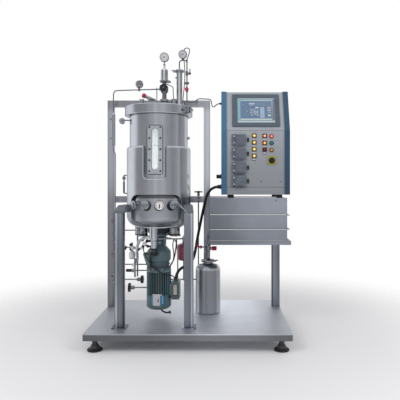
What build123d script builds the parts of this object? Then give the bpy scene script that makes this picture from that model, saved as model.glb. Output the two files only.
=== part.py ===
"""Pilot bioreactor skid: a jacketed steel vessel with a bottom drive on a base tray, a rear pipe
frame and a control cabinet on a shelf. Millimetres, +Z up, origin on the floor under the middle
of the base. X runs to the right, Y runs to the back."""

import os
from math import atan2, cos, degrees, hypot, pi, radians, sin, sqrt, tan

from build123d import *

# ---------------------------------------------------------------- driving dimensions
# Base tray and feet
BASE_X0, BASE_X1 = -556.0, 536.0
BASE_HALF_Y = 373.5
DECK_Z = 100.0
APRON = 36.0
SHEET = 3.0
FOOT_INSET = 52.0
FOOT_R = 40.0

# Rear frame of square tube
TUBE = 40.0
TUBE_WALL = 2.0
FRAME_X0, FRAME_X1 = -556.0, 94.0
FRAME_Y = 192.5
FRAME_TOP = 1408.0
MID_BEAM_TOP = 801.0

# Posts that carry the vessel and the shelf
POST = 50.0
POST_WALL = 3.0
POST_CORNER = 8.0
FRONT_POSTS = ((-387.5, -245.0), (-12.5, -245.0))
POST_TOP = 722.0
SHELF_LEG = (511.0, 217.0)
FOOT_PLATE = 78.0
FOOT_PLATE_T = 6.0

# Vessel, jacket and lid
AXIS_X, AXIS_Y = -200.0, -43.5
VESSEL_R = 168.5
VESSEL_WALL = 4.0
DISH_Z = 700.0
DISH_CROWN = 1.6 * VESSEL_R
DISH_KNUCKLE = 0.308 * VESSEL_R
RIM_Z = 1278.0
FLANGE_R = 188.0
FLANGE_T = 19.0
GASKET_T = 3.0
LID_T = 22.0
JACKET_R = 185.0
JACKET_TOP = 1093.0
JACKET_SKIN = 3.0
JACKET_SHOULDER = 16.0
JACKET_BOTTOM_R = 126.0
WINDOW_W = 130.0
WINDOW_Z = 905.0
RECESS_HALF_W = 140.0
RECESS_TOP = 820.0

# Sight glass in the front of the vessel
GLASS_W, GLASS_H = 36.0, 228.0
GLASS_Z = 1073.0
GLASS_FRAME_W, GLASS_FRAME_H = 87.0, 270.0
GLASS_FRAME_Z = 1068.0
GLASS_FRAME_PROUD = 11.0

# Bottom drive
SHAFT_R = 16.0
RUNNING_FIT = 0.05
SEAL_R = 44.0
SEAL_Z = 588.0
LANTERN_Z0, LANTERN_Z1 = 383.0, SEAL_Z
GUARD_R, GUARD_Z = 92.0, 474.0
MOTOR_R = 71.5
MOTOR_CORE_R = 60.0
MOTOR_Z0, MOTOR_Z1 = 230.0, LANTERN_Z0
MOTOR_FINS = 32
COWL_Z0 = 158.0

# Control cabinet and the shelf under it
CAB_X0, CAB_X1 = 165.0, 553.0
CHEEK_T = 30.0
CAB_Y0, CAB_Y1 = -148.5, 201.5
CAB_Z0, CAB_Z1 = 819.0, 1419.0
LEAN_Z = 1183.5
LEAN_BACK = 97.0
PANEL_RECESS = 6.0
PANEL_T = 2.0
SHELF_X0, SHELF_X1 = 94.0, 536.0
SHELF_Y0, SHELF_Y1 = -158.5, 242.0
SHELF_Z0, SHELF_Z1 = 538.0, 801.0
SHELF_LIPS = (706.0, 627.0)

# Control panel
PUMP_X, PUMP_W, PUMP_H = 264.2, 75.5, 65.0
PUMP_ZS = (1127.5, 1049.6, 970.8, 895.0)
ROCKER_X = 315.6
BUTTON_X = 351.0
BUTTON_ZS = (1152.0, 1114.0, 1076.0, 1038.0)
BUTTON_R, BUTTON_BEZEL, BUTTON_TRAVEL = 8.5, 24.0, 4.0
RED_LAMP_X = 410.0
RED_LAMP_ZS = (1151.0, 1111.0, 1073.5)
LAMP_X = 449.0
LAMP_ZS = (1149.0, 1111.0, 1071.0)
SWITCH_X, SWITCH_Z, SWITCH_PLATE = 450.5, 1012.5, 48.0

# Harvest canister
CAN_X, CAN_Y, CAN_R = 84.0, 79.5, 75.0
CAN_SHOULDER_Z, CAN_NECK_Z = 372.0, 405.0

# Lid and its fittings
LID_TOP = RIM_Z + FLANGE_T + GASKET_T + LID_T
LID_RAISED = LID_TOP + 5.0
CLAMP_AZIMUTH = 58.0
LID_BOSSES = ((-298, -60, 13, 28), (-112, -50, 9, 26), (-262, 50, 17, 16), (-140, 72, 17, 14))
COLUMN = (-168.0, -45.0)
COLUMN_TOP = 1481.0
WHEEL_Z = 1434.0
SLANT = (-228.0, -60.0)
SLANT_START, SLANT_END, SLANT_TIP = (-228, -60, 1367), (-276, -60, 1389), (-296, -60, 1398.2)
CONDENSER = (-80.0, -45.0)
RISER = (-36.0, -45.0)
RISER_TOP = 1560.0
RED_RISER_Z, HANDLE_Z = 1430.0, 1526.0
INLET = (-509.0, 150.0)
AIR_LINE_Z = 1462.0
SPINDLE_R = 4.0
STAR = (-412.0, AXIS_Y, 1246.0)
# Clamps: x, y, z, bore, outer radius, turn
CLAMPS = (
    (*COLUMN, 1352.0, 17.3, 23.0, 30.0),
    (*COLUMN, 1480.0, 22.3, 28.0, 20.0),
    (*SLANT, 1353.0, 16.3, 21.5, 200.0),
    (*CONDENSER, 1538.0, 22.3, 28.0, 180.0),
    (CAN_X, CAN_Y, 411.0, 36.3, 43.0, -10.0),
    (-294.0, -60.0, 583.0, 26.3, 31.5, 250.0),
    (-106.0, -60.0, 583.0, 26.3, 31.5, 290.0),
    (-200.0, 52.0, 583.0, 26.3, 31.5, 90.0),
)
# Gauges: stem x, stem y, dial centre z, radius, stem length, turn
GAUGES = (
    (*COLUMN, 1620.0, 27.0, 20.0, 0.0),
    (-329.0, 37.1, 1479.0, 23.0, 6.0, 50.0),
    (-60.0, -45.0, 1637.0, 25.0, 6.0, 0.0),
)

# Ports in the side and the bottom of the vessel
PORT_Z = 763.0
PORT_AZIMUTHS = (-40.0, -16.0, 32.0)
PORT_BAR = [(-95, -209, 776), (-36, -281, 743), (-6, -281, 710), (-6, -271, 706)]
PLUG_Z = 1147.0
THERMOMETER_AZIMUTH = 8.0
STUBS = ((-294.0, -60.0), (-106.0, -60.0), (-200.0, 52.0))
STUB_CAP_Z = 577.0
HARVEST = (-217.0, -140.0)
TERMINAL_BOX = (-126.0, -76.0, -85.0, -5.0, 212.0, 317.0)
GLAND_TOP = 328.0

# Rear pipework
PIPE_Y = 160.0
HEADER_A, HEADER_B, HEADER_C = -508.0, -360.0, -215.0
# Horizontal runs: from x, to x, height, radius
PIPE_RUNS = (
    (HEADER_A, HEADER_B, 589.0, 4.0),
    (HEADER_A, -452.0, 482.0, 4.0),
    (-428.0, HEADER_B, 482.0, 4.0),
    (HEADER_A, HEADER_C, 375.0, 4.0),
    (-372.0, HEADER_C, 337.0, 4.0),
    (HEADER_A, -364.0, 281.0, 4.0),
    (HEADER_C, 58.0, 281.0, 4.0),
    (-378.0, HEADER_C, 230.0, 4.0),
)
# Valves in the rear pipework: x of the body's face, height, way, wheel radius, wheel thickness
REAR_VALVES = (
    (-396.0, 337.0, -1, 9.5, 34.0),
    (-340.0, 281.0, 1, 24.0, 17.0),
    (-402.0, 230.0, -1, 28.0, 14.0),
)
EXPANSION = (-67.0, 110.0)
T_PIPE = (23.0, 135.0)
T_VALVE_Z = 806.0
JACKET_TUBE_X = AXIS_X - 205.0
FEED_Z = 569.0
KNOB_Z, LEVER_Z, LEVER_X = 486.0, 494.0, 40.0

# Details of the panel
PANEL_Y = CAB_Y0 + PANEL_RECESS
BEZEL_T, LENS_R = 5.0, 8.5
ROCKER_HOLE_W, ROCKER_HOLE_H, ROCKER_REST = 10.2, 19.0, -10.0
SWITCH_PLATE_T = 2.5
SCREEN_X = 363.0
BEZEL_SIZE, SCREEN_SIZE = (271.0, 213.0), (200.0, 140.0)

# Glands: height, depth, radius and length of those on the cabinet's left cheek; places on the lid
CHEEK_GLANDS = ((862.0, 100.0, 12.0, 25.0), (925.0, 110.0, 12.0, 30.0), (1371.0, 90.0, 5.0, 15.0))
LID_GLANDS = ((-66.0, 30.0), (-53.0, 0.0))
LID_GLAND_TOP = 1348.0

# Cords: name, points of the route, diameter
CORDS = (
    ("motor_conduit",
     [(140, 100, 862), (116, 100, 857), (92, 100, 837), (74, 99, 804), (61, 98, 752), (47, 96, 686),
      (32, 92, 614), (18, 87, 542), (8, 80, 478), (-2, 70, 430), (-24, 48, 400), (-53, 16, 387),
      (-80, -16, 376), (-96, -38, 354), (-101, -45, 328)], 17.0),
    ("signal_cable",
     [(-53, 0, 1348), (-53, 2, 1364), (-50, 20, 1378), (-37, 50, 1377), (-20, 90, 1377),
      (-5, 128, 1387), (7, 158, 1402), (23, 184, 1418), (46, 205, 1420), (72, 208, 1420),
      (95, 197, 1417), (105, 171, 1394), (106, 142, 1368), (114, 119, 1354), (127, 101, 1358),
      (139, 93, 1368), (150, 90, 1371)], 6.0),
    ("lid_cable",
     [(-36, -45, 1608), (-30, -46, 1623), (-22, -47, 1645), (-20, -45, 1666), (-30, -40, 1677),
      (-46, -33, 1678), (-56, -26, 1667), (-58, -22, 1646), (-55, -18, 1610), (-51, -12, 1562),
      (-51, -4, 1510), (-56, 8, 1457), (-62, 20, 1408), (-66, 29, 1370), (-66, 30, 1348)], 5.0),
    ("drive_cable",
     [(-253.7, -74.5, 550), (-267, -83, 547), (-278, -95, 531), (-282, -108, 503), (-270, -119, 472),
      (-248, -124, 441), (-225, -126, 412), (-201, -127, 389), (-176, -125, 371), (-150, -117, 361),
      (-127, -103, 356), (-112, -87, 348), (-106, -76, 336), (-105, -74, 323)], 6.0),
)


# ---------------------------------------------------------------- helpers
BOTTOM = (Align.CENTER, Align.CENTER, Align.MIN)
TO_RIGHT = (1, 0, 0)


def block(x0, x1, y0, y1, z0, z1):
    """A box between two corners."""
    return Pos((x0 + x1) / 2, (y0 + y1) / 2, (z0 + z1) / 2) * Box(x1 - x0, y1 - y0, z1 - z0)


def rod(start, end, radius):
    """A round bar from one point to another."""
    way = Vector(*end) - Vector(*start)
    return Plane(origin=start, z_dir=way) * Cylinder(radius, way.length, align=BOTTOM)


def hex_bar(start, end, flats):
    """A hexagonal bar from one point to another, given across its flats."""
    way = Vector(*end) - Vector(*start)
    return extrude(Plane(origin=start, z_dir=way) * RegularPolygon(flats / sqrt(3), 6), way.length)


def turned(points, start=(0, 0, 0), way=(0, 0, 1)):
    """A turned piece: an outline of (radius, height) points spun about a line."""
    profile = make_face(Plane.XZ * Polyline(*points, close=True))
    return Plane(origin=start, z_dir=way) * revolve(profile, Axis.Z)


def square_tube(x, y, z0, z1, size, wall, corner):
    """An upright square tube with rounded corners, closed at the top."""
    outer = extrude(Plane.XY.offset(z0) * Pos(x, y) * RectangleRounded(size, size, corner), z1 - z0)
    hollow = size / 2 - wall
    return outer - block(x - hollow, x + hollow, y - hollow, y + hollow, z0, z1 - wall)


def bent_tube(points, radii, radius):
    """A round tube or bar along straight runs joined by tangent arcs."""
    path = FilletPolyline(*points, radius=radii) if len(points) > 2 else Line(*points)
    return sweep(Plane(origin=path @ 0, z_dir=path % 0) * Circle(radius), path=path)


def around(azimuth, radius, z):
    """A point at an azimuth about the vessel's axis: 0 faces the front, 90 faces right."""
    turn = radians(azimuth)
    return (AXIS_X + radius * sin(turn), AXIS_Y - radius * cos(turn), z)


def on_axis(shape):
    """Moves a shape made about the origin on to the vessel's axis."""
    return Pos(AXIS_X, AXIS_Y, 0) * shape


# ---------------------------------------------------------------- base, frame and shelf
def base_tray():
    """Folded stainless tray: a flat deck with a deep apron and a return lip all round."""
    outer = block(BASE_X0, BASE_X1, -BASE_HALF_Y, BASE_HALF_Y, DECK_Z - APRON, DECK_Z)
    lip = 18.0
    pan = block(BASE_X0 + SHEET, BASE_X1 - SHEET, SHEET - BASE_HALF_Y, BASE_HALF_Y - SHEET,
                DECK_Z - APRON + SHEET, DECK_Z - SHEET)
    mouth = block(BASE_X0 + lip, BASE_X1 - lip, lip - BASE_HALF_Y, BASE_HALF_Y - lip,
                  DECK_Z - APRON, DECK_Z - SHEET)
    corners = outer.edges().filter_by(Axis.Z)
    return fillet(corners, 4.0) - pan - mouth


def levelling_feet():
    """Four levelling feet: a bell-shaped pad, a hexagon to turn it by and a threaded stem."""
    stem_r, hex_z = 8.0, 52.0
    outline = [(0, 0), (FOOT_R - 2, 0), (FOOT_R, 3), (FOOT_R, 9), (26, 20), (15, 38), (14, hex_z - 4),
               (stem_r, hex_z - 2), (stem_r, DECK_Z - SHEET), (0, DECK_Z - SHEET)]
    foot = turned(outline) + hex_bar((0, 0, hex_z), (0, 0, hex_z + 9), 24)
    spots = [(x, y) for x in (BASE_X0 + FOOT_INSET, BASE_X1 - FOOT_INSET)
             for y in (FOOT_INSET - BASE_HALF_Y, BASE_HALF_Y - FOOT_INSET)]
    return Compound(children=[Pos(x, y, 0) * foot for x, y in spots])


def rear_frame():
    """Welded gate of square tube: two posts, a top beam and a beam at the height of the shelf."""
    y0, y1 = FRAME_Y, FRAME_Y + TUBE
    middle = (y0 + y1) / 2
    frame = Part()
    for x in (FRAME_X0 + TUBE / 2, FRAME_X1 - TUBE / 2):
        post = Pos(x, middle) * RectangleRounded(TUBE, TUBE, 3.0)
        frame += extrude(Plane.XY.offset(DECK_Z) * post, FRAME_TOP - DECK_Z)
    for top in (FRAME_TOP, MID_BEAM_TOP):
        frame += block(FRAME_X0 + TUBE / 2, FRAME_X1 - TUBE / 2, y0, y1, top - TUBE, top)
    hollow = TUBE - 2 * TUBE_WALL
    for x in (FRAME_X0 + TUBE / 2, FRAME_X1 - TUBE / 2):
        frame -= block(x - hollow / 2, x + hollow / 2, y0 + TUBE_WALL, y1 - TUBE_WALL,
                       DECK_Z, FRAME_TOP - TUBE_WALL)
    for top in (FRAME_TOP, MID_BEAM_TOP):
        frame -= block(FRAME_X0 + TUBE, FRAME_X1 - TUBE, y0 + TUBE_WALL, y1 - TUBE_WALL,
                       top - TUBE + TUBE_WALL, top - TUBE_WALL)
    return frame


def support_posts():
    """Two posts under the vessel and one leg under the shelf, each on a small bolted plate."""
    posts = []
    for x, y, top in [(x, y, POST_TOP) for x, y in FRONT_POSTS] + [(*SHELF_LEG, SHELF_Z0)]:
        post = square_tube(x, y, DECK_Z, top, POST, POST_WALL, POST_CORNER)
        half = FOOT_PLATE / 2 if (x, y) != SHELF_LEG else POST / 2
        post += block(x - half, x + half, y - half, y + half, DECK_Z, DECK_Z + FOOT_PLATE_T)
        posts.append(post)
    return Compound(children=posts)


def vessel_lugs():
    """Folded brackets that carry the vessel: two run out to the front posts, one to the rear beam."""
    lugs = []
    width, skin, rise, over = 50.0, 5.0, 40.0, 28.0
    keep_out = on_axis(Pos(0, 0, 500) * Cylinder(JACKET_R, 400, align=BOTTOM))
    for x, y in FRONT_POSTS:
        side = 1 if x > AXIS_X else -1
        along = (AXIS_X + side * 172.0 - x, -120.0 - y)
        reach = hypot(*along) + 40.0
        outline = [(-over, 0), (reach, 0), (reach, rise), (45, rise), (-over, 9)]
        inside = [(skin - over, skin), (reach + 9, skin), (reach + 9, rise - skin), (46, rise - skin)]
        lug = extrude(Plane.XZ * make_face(Polyline(*outline, close=True)), width / 2, both=True)
        lug -= extrude(Plane.XZ * make_face(Polyline(*inside, close=True)), width / 2 - skin, both=True)
        turn = degrees(atan2(along[1], along[0]))
        lugs.append(Pos(x, y, POST_TOP) * Rot(0, 0, turn) * lug - keep_out)
    beam_z0 = MID_BEAM_TOP - TUBE + 4
    rear = block(AXIS_X - 35, AXIS_X + 35, AXIS_Y + 150, FRAME_Y, beam_z0, beam_z0 + 32)
    rear -= block(AXIS_X - 30, AXIS_X + 30, AXIS_Y + 140, FRAME_Y - 6, beam_z0 + skin, beam_z0 + 27)
    lugs.append(rear - keep_out)
    return Compound(children=lugs)


def shelf_housing():
    """Folded box that carries the cabinet: three tiers marked by outward lips, and a foot flange."""
    wall, lip, lip_t, flange_h = 2.0, 8.0, 4.0, 21.0
    box = block(SHELF_X0, SHELF_X1, SHELF_Y0, SHELF_Y1, SHELF_Z0, SHELF_Z1)
    box = fillet(box.edges().filter_by(Axis.Z).group_by(Axis.Y)[0], 5.0)
    for z in SHELF_LIPS:
        box += block(SHELF_X0 + 6, SHELF_X1 + 13, SHELF_Y0 - lip, SHELF_Y1 - 20, z - lip_t, z)
    box += block(SHELF_X0 + 6, SHELF_X1 + 20, SHELF_Y0 - lip - 4, SHELF_Y1 - 20,
                 SHELF_Z0, SHELF_Z0 + flange_h)
    box -= block(SHELF_X0 + wall, SHELF_X1 - wall, SHELF_Y0 + wall, SHELF_Y1 - wall,
                 SHELF_Z0 + wall, SHELF_Z1 - wall)
    return box


# ---------------------------------------------------------------- vessel, jacket and lid
def dished_cup(radius, top, offset):
    """A solid cup on the axis: a dished head below the tangent line and a cylinder up to the top.
    The head's crown and knuckle arcs share their centres with the vessel's, grown by the offset."""
    crown, knuckle = DISH_CROWN + offset, DISH_KNUCKLE + offset
    knuckle_x = radius - knuckle
    drop = sqrt((crown - knuckle) ** 2 - knuckle_x ** 2)
    crown_z = DISH_Z + drop
    slope = atan2(knuckle_x, drop)
    joint = (crown * sin(slope), crown_z - crown * cos(slope))
    crown_mid = (crown * sin(slope / 2), crown_z - crown * cos(slope / 2))
    bend = (slope + pi / 2) / 2
    knuckle_mid = (knuckle_x + knuckle * sin(bend), DISH_Z - knuckle * cos(bend))
    outline = (ThreePointArc((0, crown_z - crown), crown_mid, joint)
               + ThreePointArc(joint, knuckle_mid, (radius, DISH_Z))
               + Polyline((radius, DISH_Z), (radius, top), (0, top), (0, crown_z - crown)))
    return on_axis(revolve(Plane.XZ * make_face(outline), Axis.Z))


def ring(inner, outer, z0, z1):
    """A flat ring about the vessel's axis."""
    tube = Cylinder(outer, z1 - z0, align=BOTTOM) - Cylinder(inner, z1 - z0, align=BOTTOM)
    return on_axis(Pos(0, 0, z0) * tube)


def stub_nozzle(x, y, z_top, z_low, bore):
    """A short sanitary outlet under the dish, with a rim for its clamp."""
    outline = [(bore, z_top), (22.5, z_top), (22.5, z_low + 14), (26, z_low + 6), (26, z_low), (bore, z_low)]
    return Pos(x, y, 0) * turned(outline)


def vessel_shell():
    """Inner vessel: dished bottom, straight wall, rim flange, slot for the sight glass, a seal
    housing for the bottom drive, three outlets and a perforated gas ring welded over the bottom."""
    shell = dished_cup(VESSEL_R, RIM_Z, 0) + ring(VESSEL_R - 2, FLANGE_R, RIM_Z, RIM_Z + FLANGE_T)
    shell += on_axis(Pos(0, 0, SEAL_Z) * Cylinder(SEAL_R, 50, align=BOTTOM))
    for x, y in STUBS:
        shell += stub_nozzle(x, y, 645, 583, 0)
    inside = dished_cup(VESSEL_R - VESSEL_WALL, RIM_Z + FLANGE_T, -VESSEL_WALL)
    shell -= inside
    sparger = on_axis(Pos(0, 0, 672) * Torus(72, 6))
    foot = rod((AXIS_X, AXIS_Y + 72, 668), (AXIS_X, AXIS_Y + 72, 626), 5)
    shell += sparger + foot
    shell -= on_axis(Pos(0, 0, SEAL_Z) * Cylinder(SHAFT_R + RUNNING_FIT, 80, align=BOTTOM))
    slot = Plane.XZ * Pos(AXIS_X, GLASS_Z) * SlotOverall(GLASS_H, GLASS_W, rotation=90)
    return shell - extrude(slot, 400)


def front_cutter(half_w, z0, z1, corner, depth, grow, foot=0.0):
    """A block with rounded upper corners that cuts an opening into the front of the jacket."""
    width = 2 * (half_w + grow)
    height = z1 - z0 + 2 * grow
    face = Pos(AXIS_X, (z0 + z1) / 2 - foot) * RectangleRounded(width, height, corner + grow)
    return extrude(Plane.XZ.offset(depth - grow) * face, 300)


def vessel_jacket():
    """Water jacket: an outer skin with a rolled shoulder, cut away round the sight glass and round
    the front ports. Each cut-out is closed back to the vessel by its own edge strip."""
    inner = dished_cup(VESSEL_R, JACKET_TOP + 50, 0)
    outer = dished_cup(JACKET_R, JACKET_TOP, JACKET_R - VESSEL_R)
    outer = fillet(outer.edges().filter_by(GeomType.CIRCLE).group_by(Axis.Z)[-1], JACKET_SHOULDER)
    water_r = JACKET_R - JACKET_SKIN
    water = dished_cup(water_r, JACKET_TOP - JACKET_SKIN, water_r - VESSEL_R)
    water = fillet(water.edges().filter_by(GeomType.CIRCLE).group_by(Axis.Z)[-1],
                   JACKET_SHOULDER - JACKET_SKIN)
    cuts, strips = [], []
    for grow, where in ((0, cuts), (JACKET_SKIN, strips)):
        where.append(on_axis(Pos(0, 0, 500) * Cylinder(JACKET_BOTTOM_R + grow, 200, align=BOTTOM)))
        where.append(front_cutter(WINDOW_W / 2, WINDOW_Z, JACKET_TOP + 60, 22, 150, grow))
        where.append(front_cutter(RECESS_HALF_W, 560, RECESS_TOP, 42, 140, grow))
    jacket = outer - inner - cuts
    return jacket - (water - inner - strips)


def sight_glass_frame():
    """Flat frame plate round the sight glass, its back shaped to the vessel's wall."""
    front = AXIS_Y - VESSEL_R - GLASS_FRAME_PROUD
    plate = Plane.XZ * Pos(AXIS_X, GLASS_FRAME_Z) * RectangleRounded(GLASS_FRAME_W, GLASS_FRAME_H, 9)
    frame = Pos(0, front, 0) * extrude(plate, -30)
    lip = Plane.XZ * Pos(AXIS_X, GLASS_Z) * SlotOverall(GLASS_H, GLASS_W, rotation=90)
    frame -= Pos(0, front, 0) * extrude(lip, 60, both=True)
    wall = on_axis(Pos(0, 0, 700) * Cylinder(VESSEL_R, 600, align=BOTTOM))
    return chamfer(frame.faces().sort_by(Axis.Y)[0].outer_wire().edges(), 2.0) - wall


def sight_glass_pane():
    """Long sight glass with round ends, set in its frame."""
    front = AXIS_Y - VESSEL_R - GLASS_FRAME_PROUD
    slot = Plane.XZ * Pos(AXIS_X, GLASS_Z) * SlotOverall(GLASS_H, GLASS_W, rotation=90)
    return Pos(0, front + 3, 0) * extrude(slot, -8)


def lid_gasket():
    """Flat seal between the two flanges."""
    return ring(VESSEL_R - VESSEL_WALL, FLANGE_R - 4, RIM_Z + FLANGE_T, RIM_Z + FLANGE_T + GASKET_T)


def vessel_lid():
    """Turned lid with a raised middle and short bosses for what stands on it."""
    z0, z1 = LID_TOP - LID_T, LID_TOP
    lid = on_axis(turned([(0, z0), (FLANGE_R, z0), (FLANGE_R, z1 - 4), (FLANGE_R - 4, z1),
                          (VESSEL_R - 24, z1), (VESSEL_R - 30, z1 + 5), (0, z1 + 5)]))
    for x, y, radius, height in LID_BOSSES:
        lid += Pos(x, y, z1 - 1) * Cylinder(radius, height + 1, align=BOTTOM)
    return lid


def lid_clamp():
    """Split clamp ring round both flanges, with the draw screw that closes it on the right."""
    z0, z1 = RIM_Z - 6, LID_TOP + 2
    middle = (z0 + z1) / 2
    under, over, inner, outer = VESSEL_R + 4, FLANGE_R - 14, FLANGE_R + 0.3, FLANGE_R + 8
    band = on_axis(turned([(under, z0), (outer - 2, z0), (outer, z0 + 3), (outer, z1 - 3),
                           (outer - 2, z1), (over, z1), (over, LID_TOP), (inner, LID_TOP),
                           (inner, RIM_Z - 0.3), (under, RIM_Z - 0.3)]))
    x, y, _ = around(CLAMP_AZIMUTH, FLANGE_R + 20, 0)
    place = Pos(x, y, middle) * Rot(0, 0, CLAMP_AZIMUTH)
    band -= place * Box(7, 60, 70)
    shank = place * Pos(0, -5, 0) * Rot(0, 90, 0)
    for side in (-1, 1):
        ear = place * Pos(side * 11, 3, 0) * Box(12, 30, 34)
        band += ear - on_axis(Pos(0, 0, z0 - 20) * Cylinder(FLANGE_R + 2, 120, align=BOTTOM))
    band -= shank * Cylinder(5, 80)
    nut = shank * Pos(0, 0, 17.2) * extrude(RegularPolygon(10, 6), 16)
    head = shank * Pos(0, 0, -26.2) * extrude(RegularPolygon(9, 6), 9)
    return Compound(children=[band, shank * Cylinder(4.5, 60) + nut + head])


# ---------------------------------------------------------------- bottom drive
def harvest_valve():
    """Harvest valve under the dish: body, tapered bonnet, grip collar and a ribbed blanking cap."""
    x, y = HARVEST
    top, neck, collar, tip = 645.0, 566.0, 517.0, 476.0
    outline = [(0, top), (22, top), (25.5, top - 6), (25.5, neck + 3), (21, neck - 5), (17.5, neck - 9),
               (16, collar), (19, collar), (19, collar - 11), (13, collar - 13), (13, tip + 26),
               (22, tip + 25), (25, tip + 21), (25, tip + 6), (20, tip), (0, tip)]
    return Pos(x, y, 0) * turned(outline) - dished_cup(VESSEL_R + 0.1, 760, 0.1)


def drive_lantern():
    """Cast lantern between the vessel and the motor: bell shape with a bore for the shaft, and a
    flared splash guard cast on its left side."""
    bore = SHAFT_R + 6
    outline = [(bore, LANTERN_Z1), (52, LANTERN_Z1), (52, LANTERN_Z1 - 10), (36, LANTERN_Z1 - 16),
               (34, 528), (42, 520), (66, 492), (69, 484), (69, 440), (66, 434), (61, 430), (61, 421),
               (65, 419), (65, 411), (60, 409), (60, 400), (70, 397), (70, LANTERN_Z0), (bore, LANTERN_Z0)]
    lantern = on_axis(turned(outline))
    ribs = [on_axis(Rot(0, 0, 45 + 90 * i) * Pos(38, 0, 545) * Box(26, 7, 60)) for i in range(4)]
    lantern += rod(around(-60, 30, 550), around(-60, 62, 550), 6)
    guard = turned([(58, 402), (71, 402), (GUARD_R, GUARD_Z - 8), (GUARD_R, GUARD_Z), (GUARD_R - 4, GUARD_Z),
                    (GUARD_R - 4, GUARD_Z - 7), (68, 406), (58, 407)])
    lantern += on_axis(guard & Pos(-200 - 45, 0, 440) * Box(400, 400, 200))
    return lantern + ribs - ring(0, bore, LANTERN_Z0, LANTERN_Z1)


def motor_housing():
    """Motor frame with cooling fins all round, an end flange and a cast terminal box on the right."""
    profile = Circle(MOTOR_CORE_R)
    fin = Rectangle(2 * MOTOR_R - 1, 3.0)
    for i in range(MOTOR_FINS // 2):
        profile += Rot(0, 0, 360 / MOTOR_FINS * (i + 0.5)) * fin
    frame = extrude(Plane.XY.offset(MOTOR_Z0) * profile, MOTOR_Z1 - MOTOR_Z0 - 12)
    frame += Pos(0, 0, MOTOR_Z1 - 12) * Cylinder(MOTOR_R, 12, align=BOTTOM)
    frame += Pos(0, 0, MOTOR_Z0) * Cylinder(MOTOR_R - 2.5, 8, align=BOTTOM)
    frame = on_axis(frame) - ring(0, SHAFT_R + 6, MOTOR_Z1 - 40, MOTOR_Z1)
    x0, x1, y0, y1, z0, z1 = TERMINAL_BOX
    saddle = block(AXIS_X + MOTOR_CORE_R - 8, x0 + 2, y0 + 16, y1 - 16, MOTOR_Z0 + 4, z1 - 14)
    box = block(x0, x1, y0, y1, z0, z1)
    box = fillet(box.edges().filter_by(Axis.Y), 6.0)
    x, y = (x0 + x1) / 2, (y0 + y1) / 2
    box += rod((x, y, z1 - 1), (x, y, GLAND_TOP), 12)
    box += rod((x - 4, y0 + 11, z1 - 1), (x - 4, y0 + 11, GLAND_TOP - 5), 6)
    return frame + saddle + box


def fan_cowl():
    """Pressed cowl over the motor's fan, with a ring of slots in its floor for the cooling air."""
    wall, rim = 2.0, 12.0
    outer = [(0, COWL_Z0), (MOTOR_R - rim, COWL_Z0), (MOTOR_R, COWL_Z0 + rim), (MOTOR_R, MOTOR_Z0)]
    outer += [(MOTOR_R - wall, MOTOR_Z0), (MOTOR_R - wall, COWL_Z0 + rim),
              (MOTOR_R - rim, COWL_Z0 + wall), (0, COWL_Z0 + wall)]
    cowl = turned(outer)
    slots = [Rot(0, 0, 45 * i) * Pos(36, 0, COWL_Z0) * Box(30, 8, 10) for i in range(8)]
    return on_axis(cowl - slots)


def side_ports():
    """Capped ports for the probes: a welded neck, a ribbed union nut and a cap in each. A thin bar
    runs from the right port to the post, and a small plug sits high on the right of the wall."""
    ports = []
    for azimuth in PORT_AZIMUTHS:
        start = around(azimuth, VESSEL_R - 4, PORT_Z)
        way = Vector(*around(azimuth, 1, PORT_Z)) - Vector(AXIS_X, AXIS_Y, PORT_Z)
        outline = [(0, 0), (19, 0), (19, 14), (23.5, 16), (23.5, 32), (20, 35), (15, 36), (15, 43),
                   (12, 46), (0, 46)]
        port = turned(outline, start, way)
        for i in range(10):
            grip = Plane(origin=start, z_dir=way) * Rot(0, 0, 36 * i) * Pos(24, 0, 24) * Cylinder(2, 18)
            port -= grip
        ports.append(port - on_axis(Pos(0, 0, 700) * Cylinder(VESSEL_R + 0.2, 120, align=BOTTOM)))
    ports[-1] += bent_tube(PORT_BAR, [8, 5], 2.2)
    plug = turned([(0, 0), (9, 0), (9, 5), (6, 6), (6, 14), (0, 14)], around(90, VESSEL_R - 1, PLUG_Z), (1, 0, 0))
    ports.append(plug - on_axis(Pos(0, 0, PLUG_Z - 20) * Cylinder(VESSEL_R + 0.2, 40, align=BOTTOM)))
    return Compound(children=ports)


def agitator():
    """Agitator: one shaft up from the drive, three six-bladed turbines and a domed end nut."""
    top = 1086.0
    shaft = Pos(0, 0, MOTOR_Z1 - 34) * Cylinder(SHAFT_R, top - MOTOR_Z1 + 34, align=BOTTOM)
    for z in (740.0, 890.0, 1040.0):
        shaft += Pos(0, 0, z) * Cylinder(24, 34)
        shaft += Pos(0, 0, z) * Cylinder(40, 4)
        for i in range(6):
            shaft += Rot(0, 0, 60 * i) * Pos(44, 0, z) * Box(26, 3, 28)
    return on_axis(shaft)


# ---------------------------------------------------------------- lid fittings
def wing_clamp(x, y, z, bore, outer, turn, up=(0, 0, 1)):
    """Two-part sanitary clamp drawn as one ring, with its hinge lug, eye bolt and wing nut."""
    half = 6.5
    clamp = turned([(bore, -half), (outer - 4, -half), (outer, 3 - half), (outer, half - 3),
                    (outer - 4, half), (bore, half)])
    lug = Pos(outer + 3, 0, 0) * Box(10, 13, 11)
    bolt = Rot(90, 0, 0) * Cylinder(2.5, 34)
    wing = Rot(90, 0, 0) * Cylinder(5, 9) + Box(24, 4, 6)
    clamp += [lug, Pos(outer + 4, 6, 0) * bolt, Pos(outer + 4, 20, 0) * wing]
    return Plane(origin=(x, y, z), z_dir=up) * Rot(0, 0, turn) * clamp


def sanitary_clamps():
    """Clamps on the lid's columns, on the canister's neck and under the dish."""
    return Compound(children=[wing_clamp(*clamp) for clamp in CLAMPS])


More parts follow.
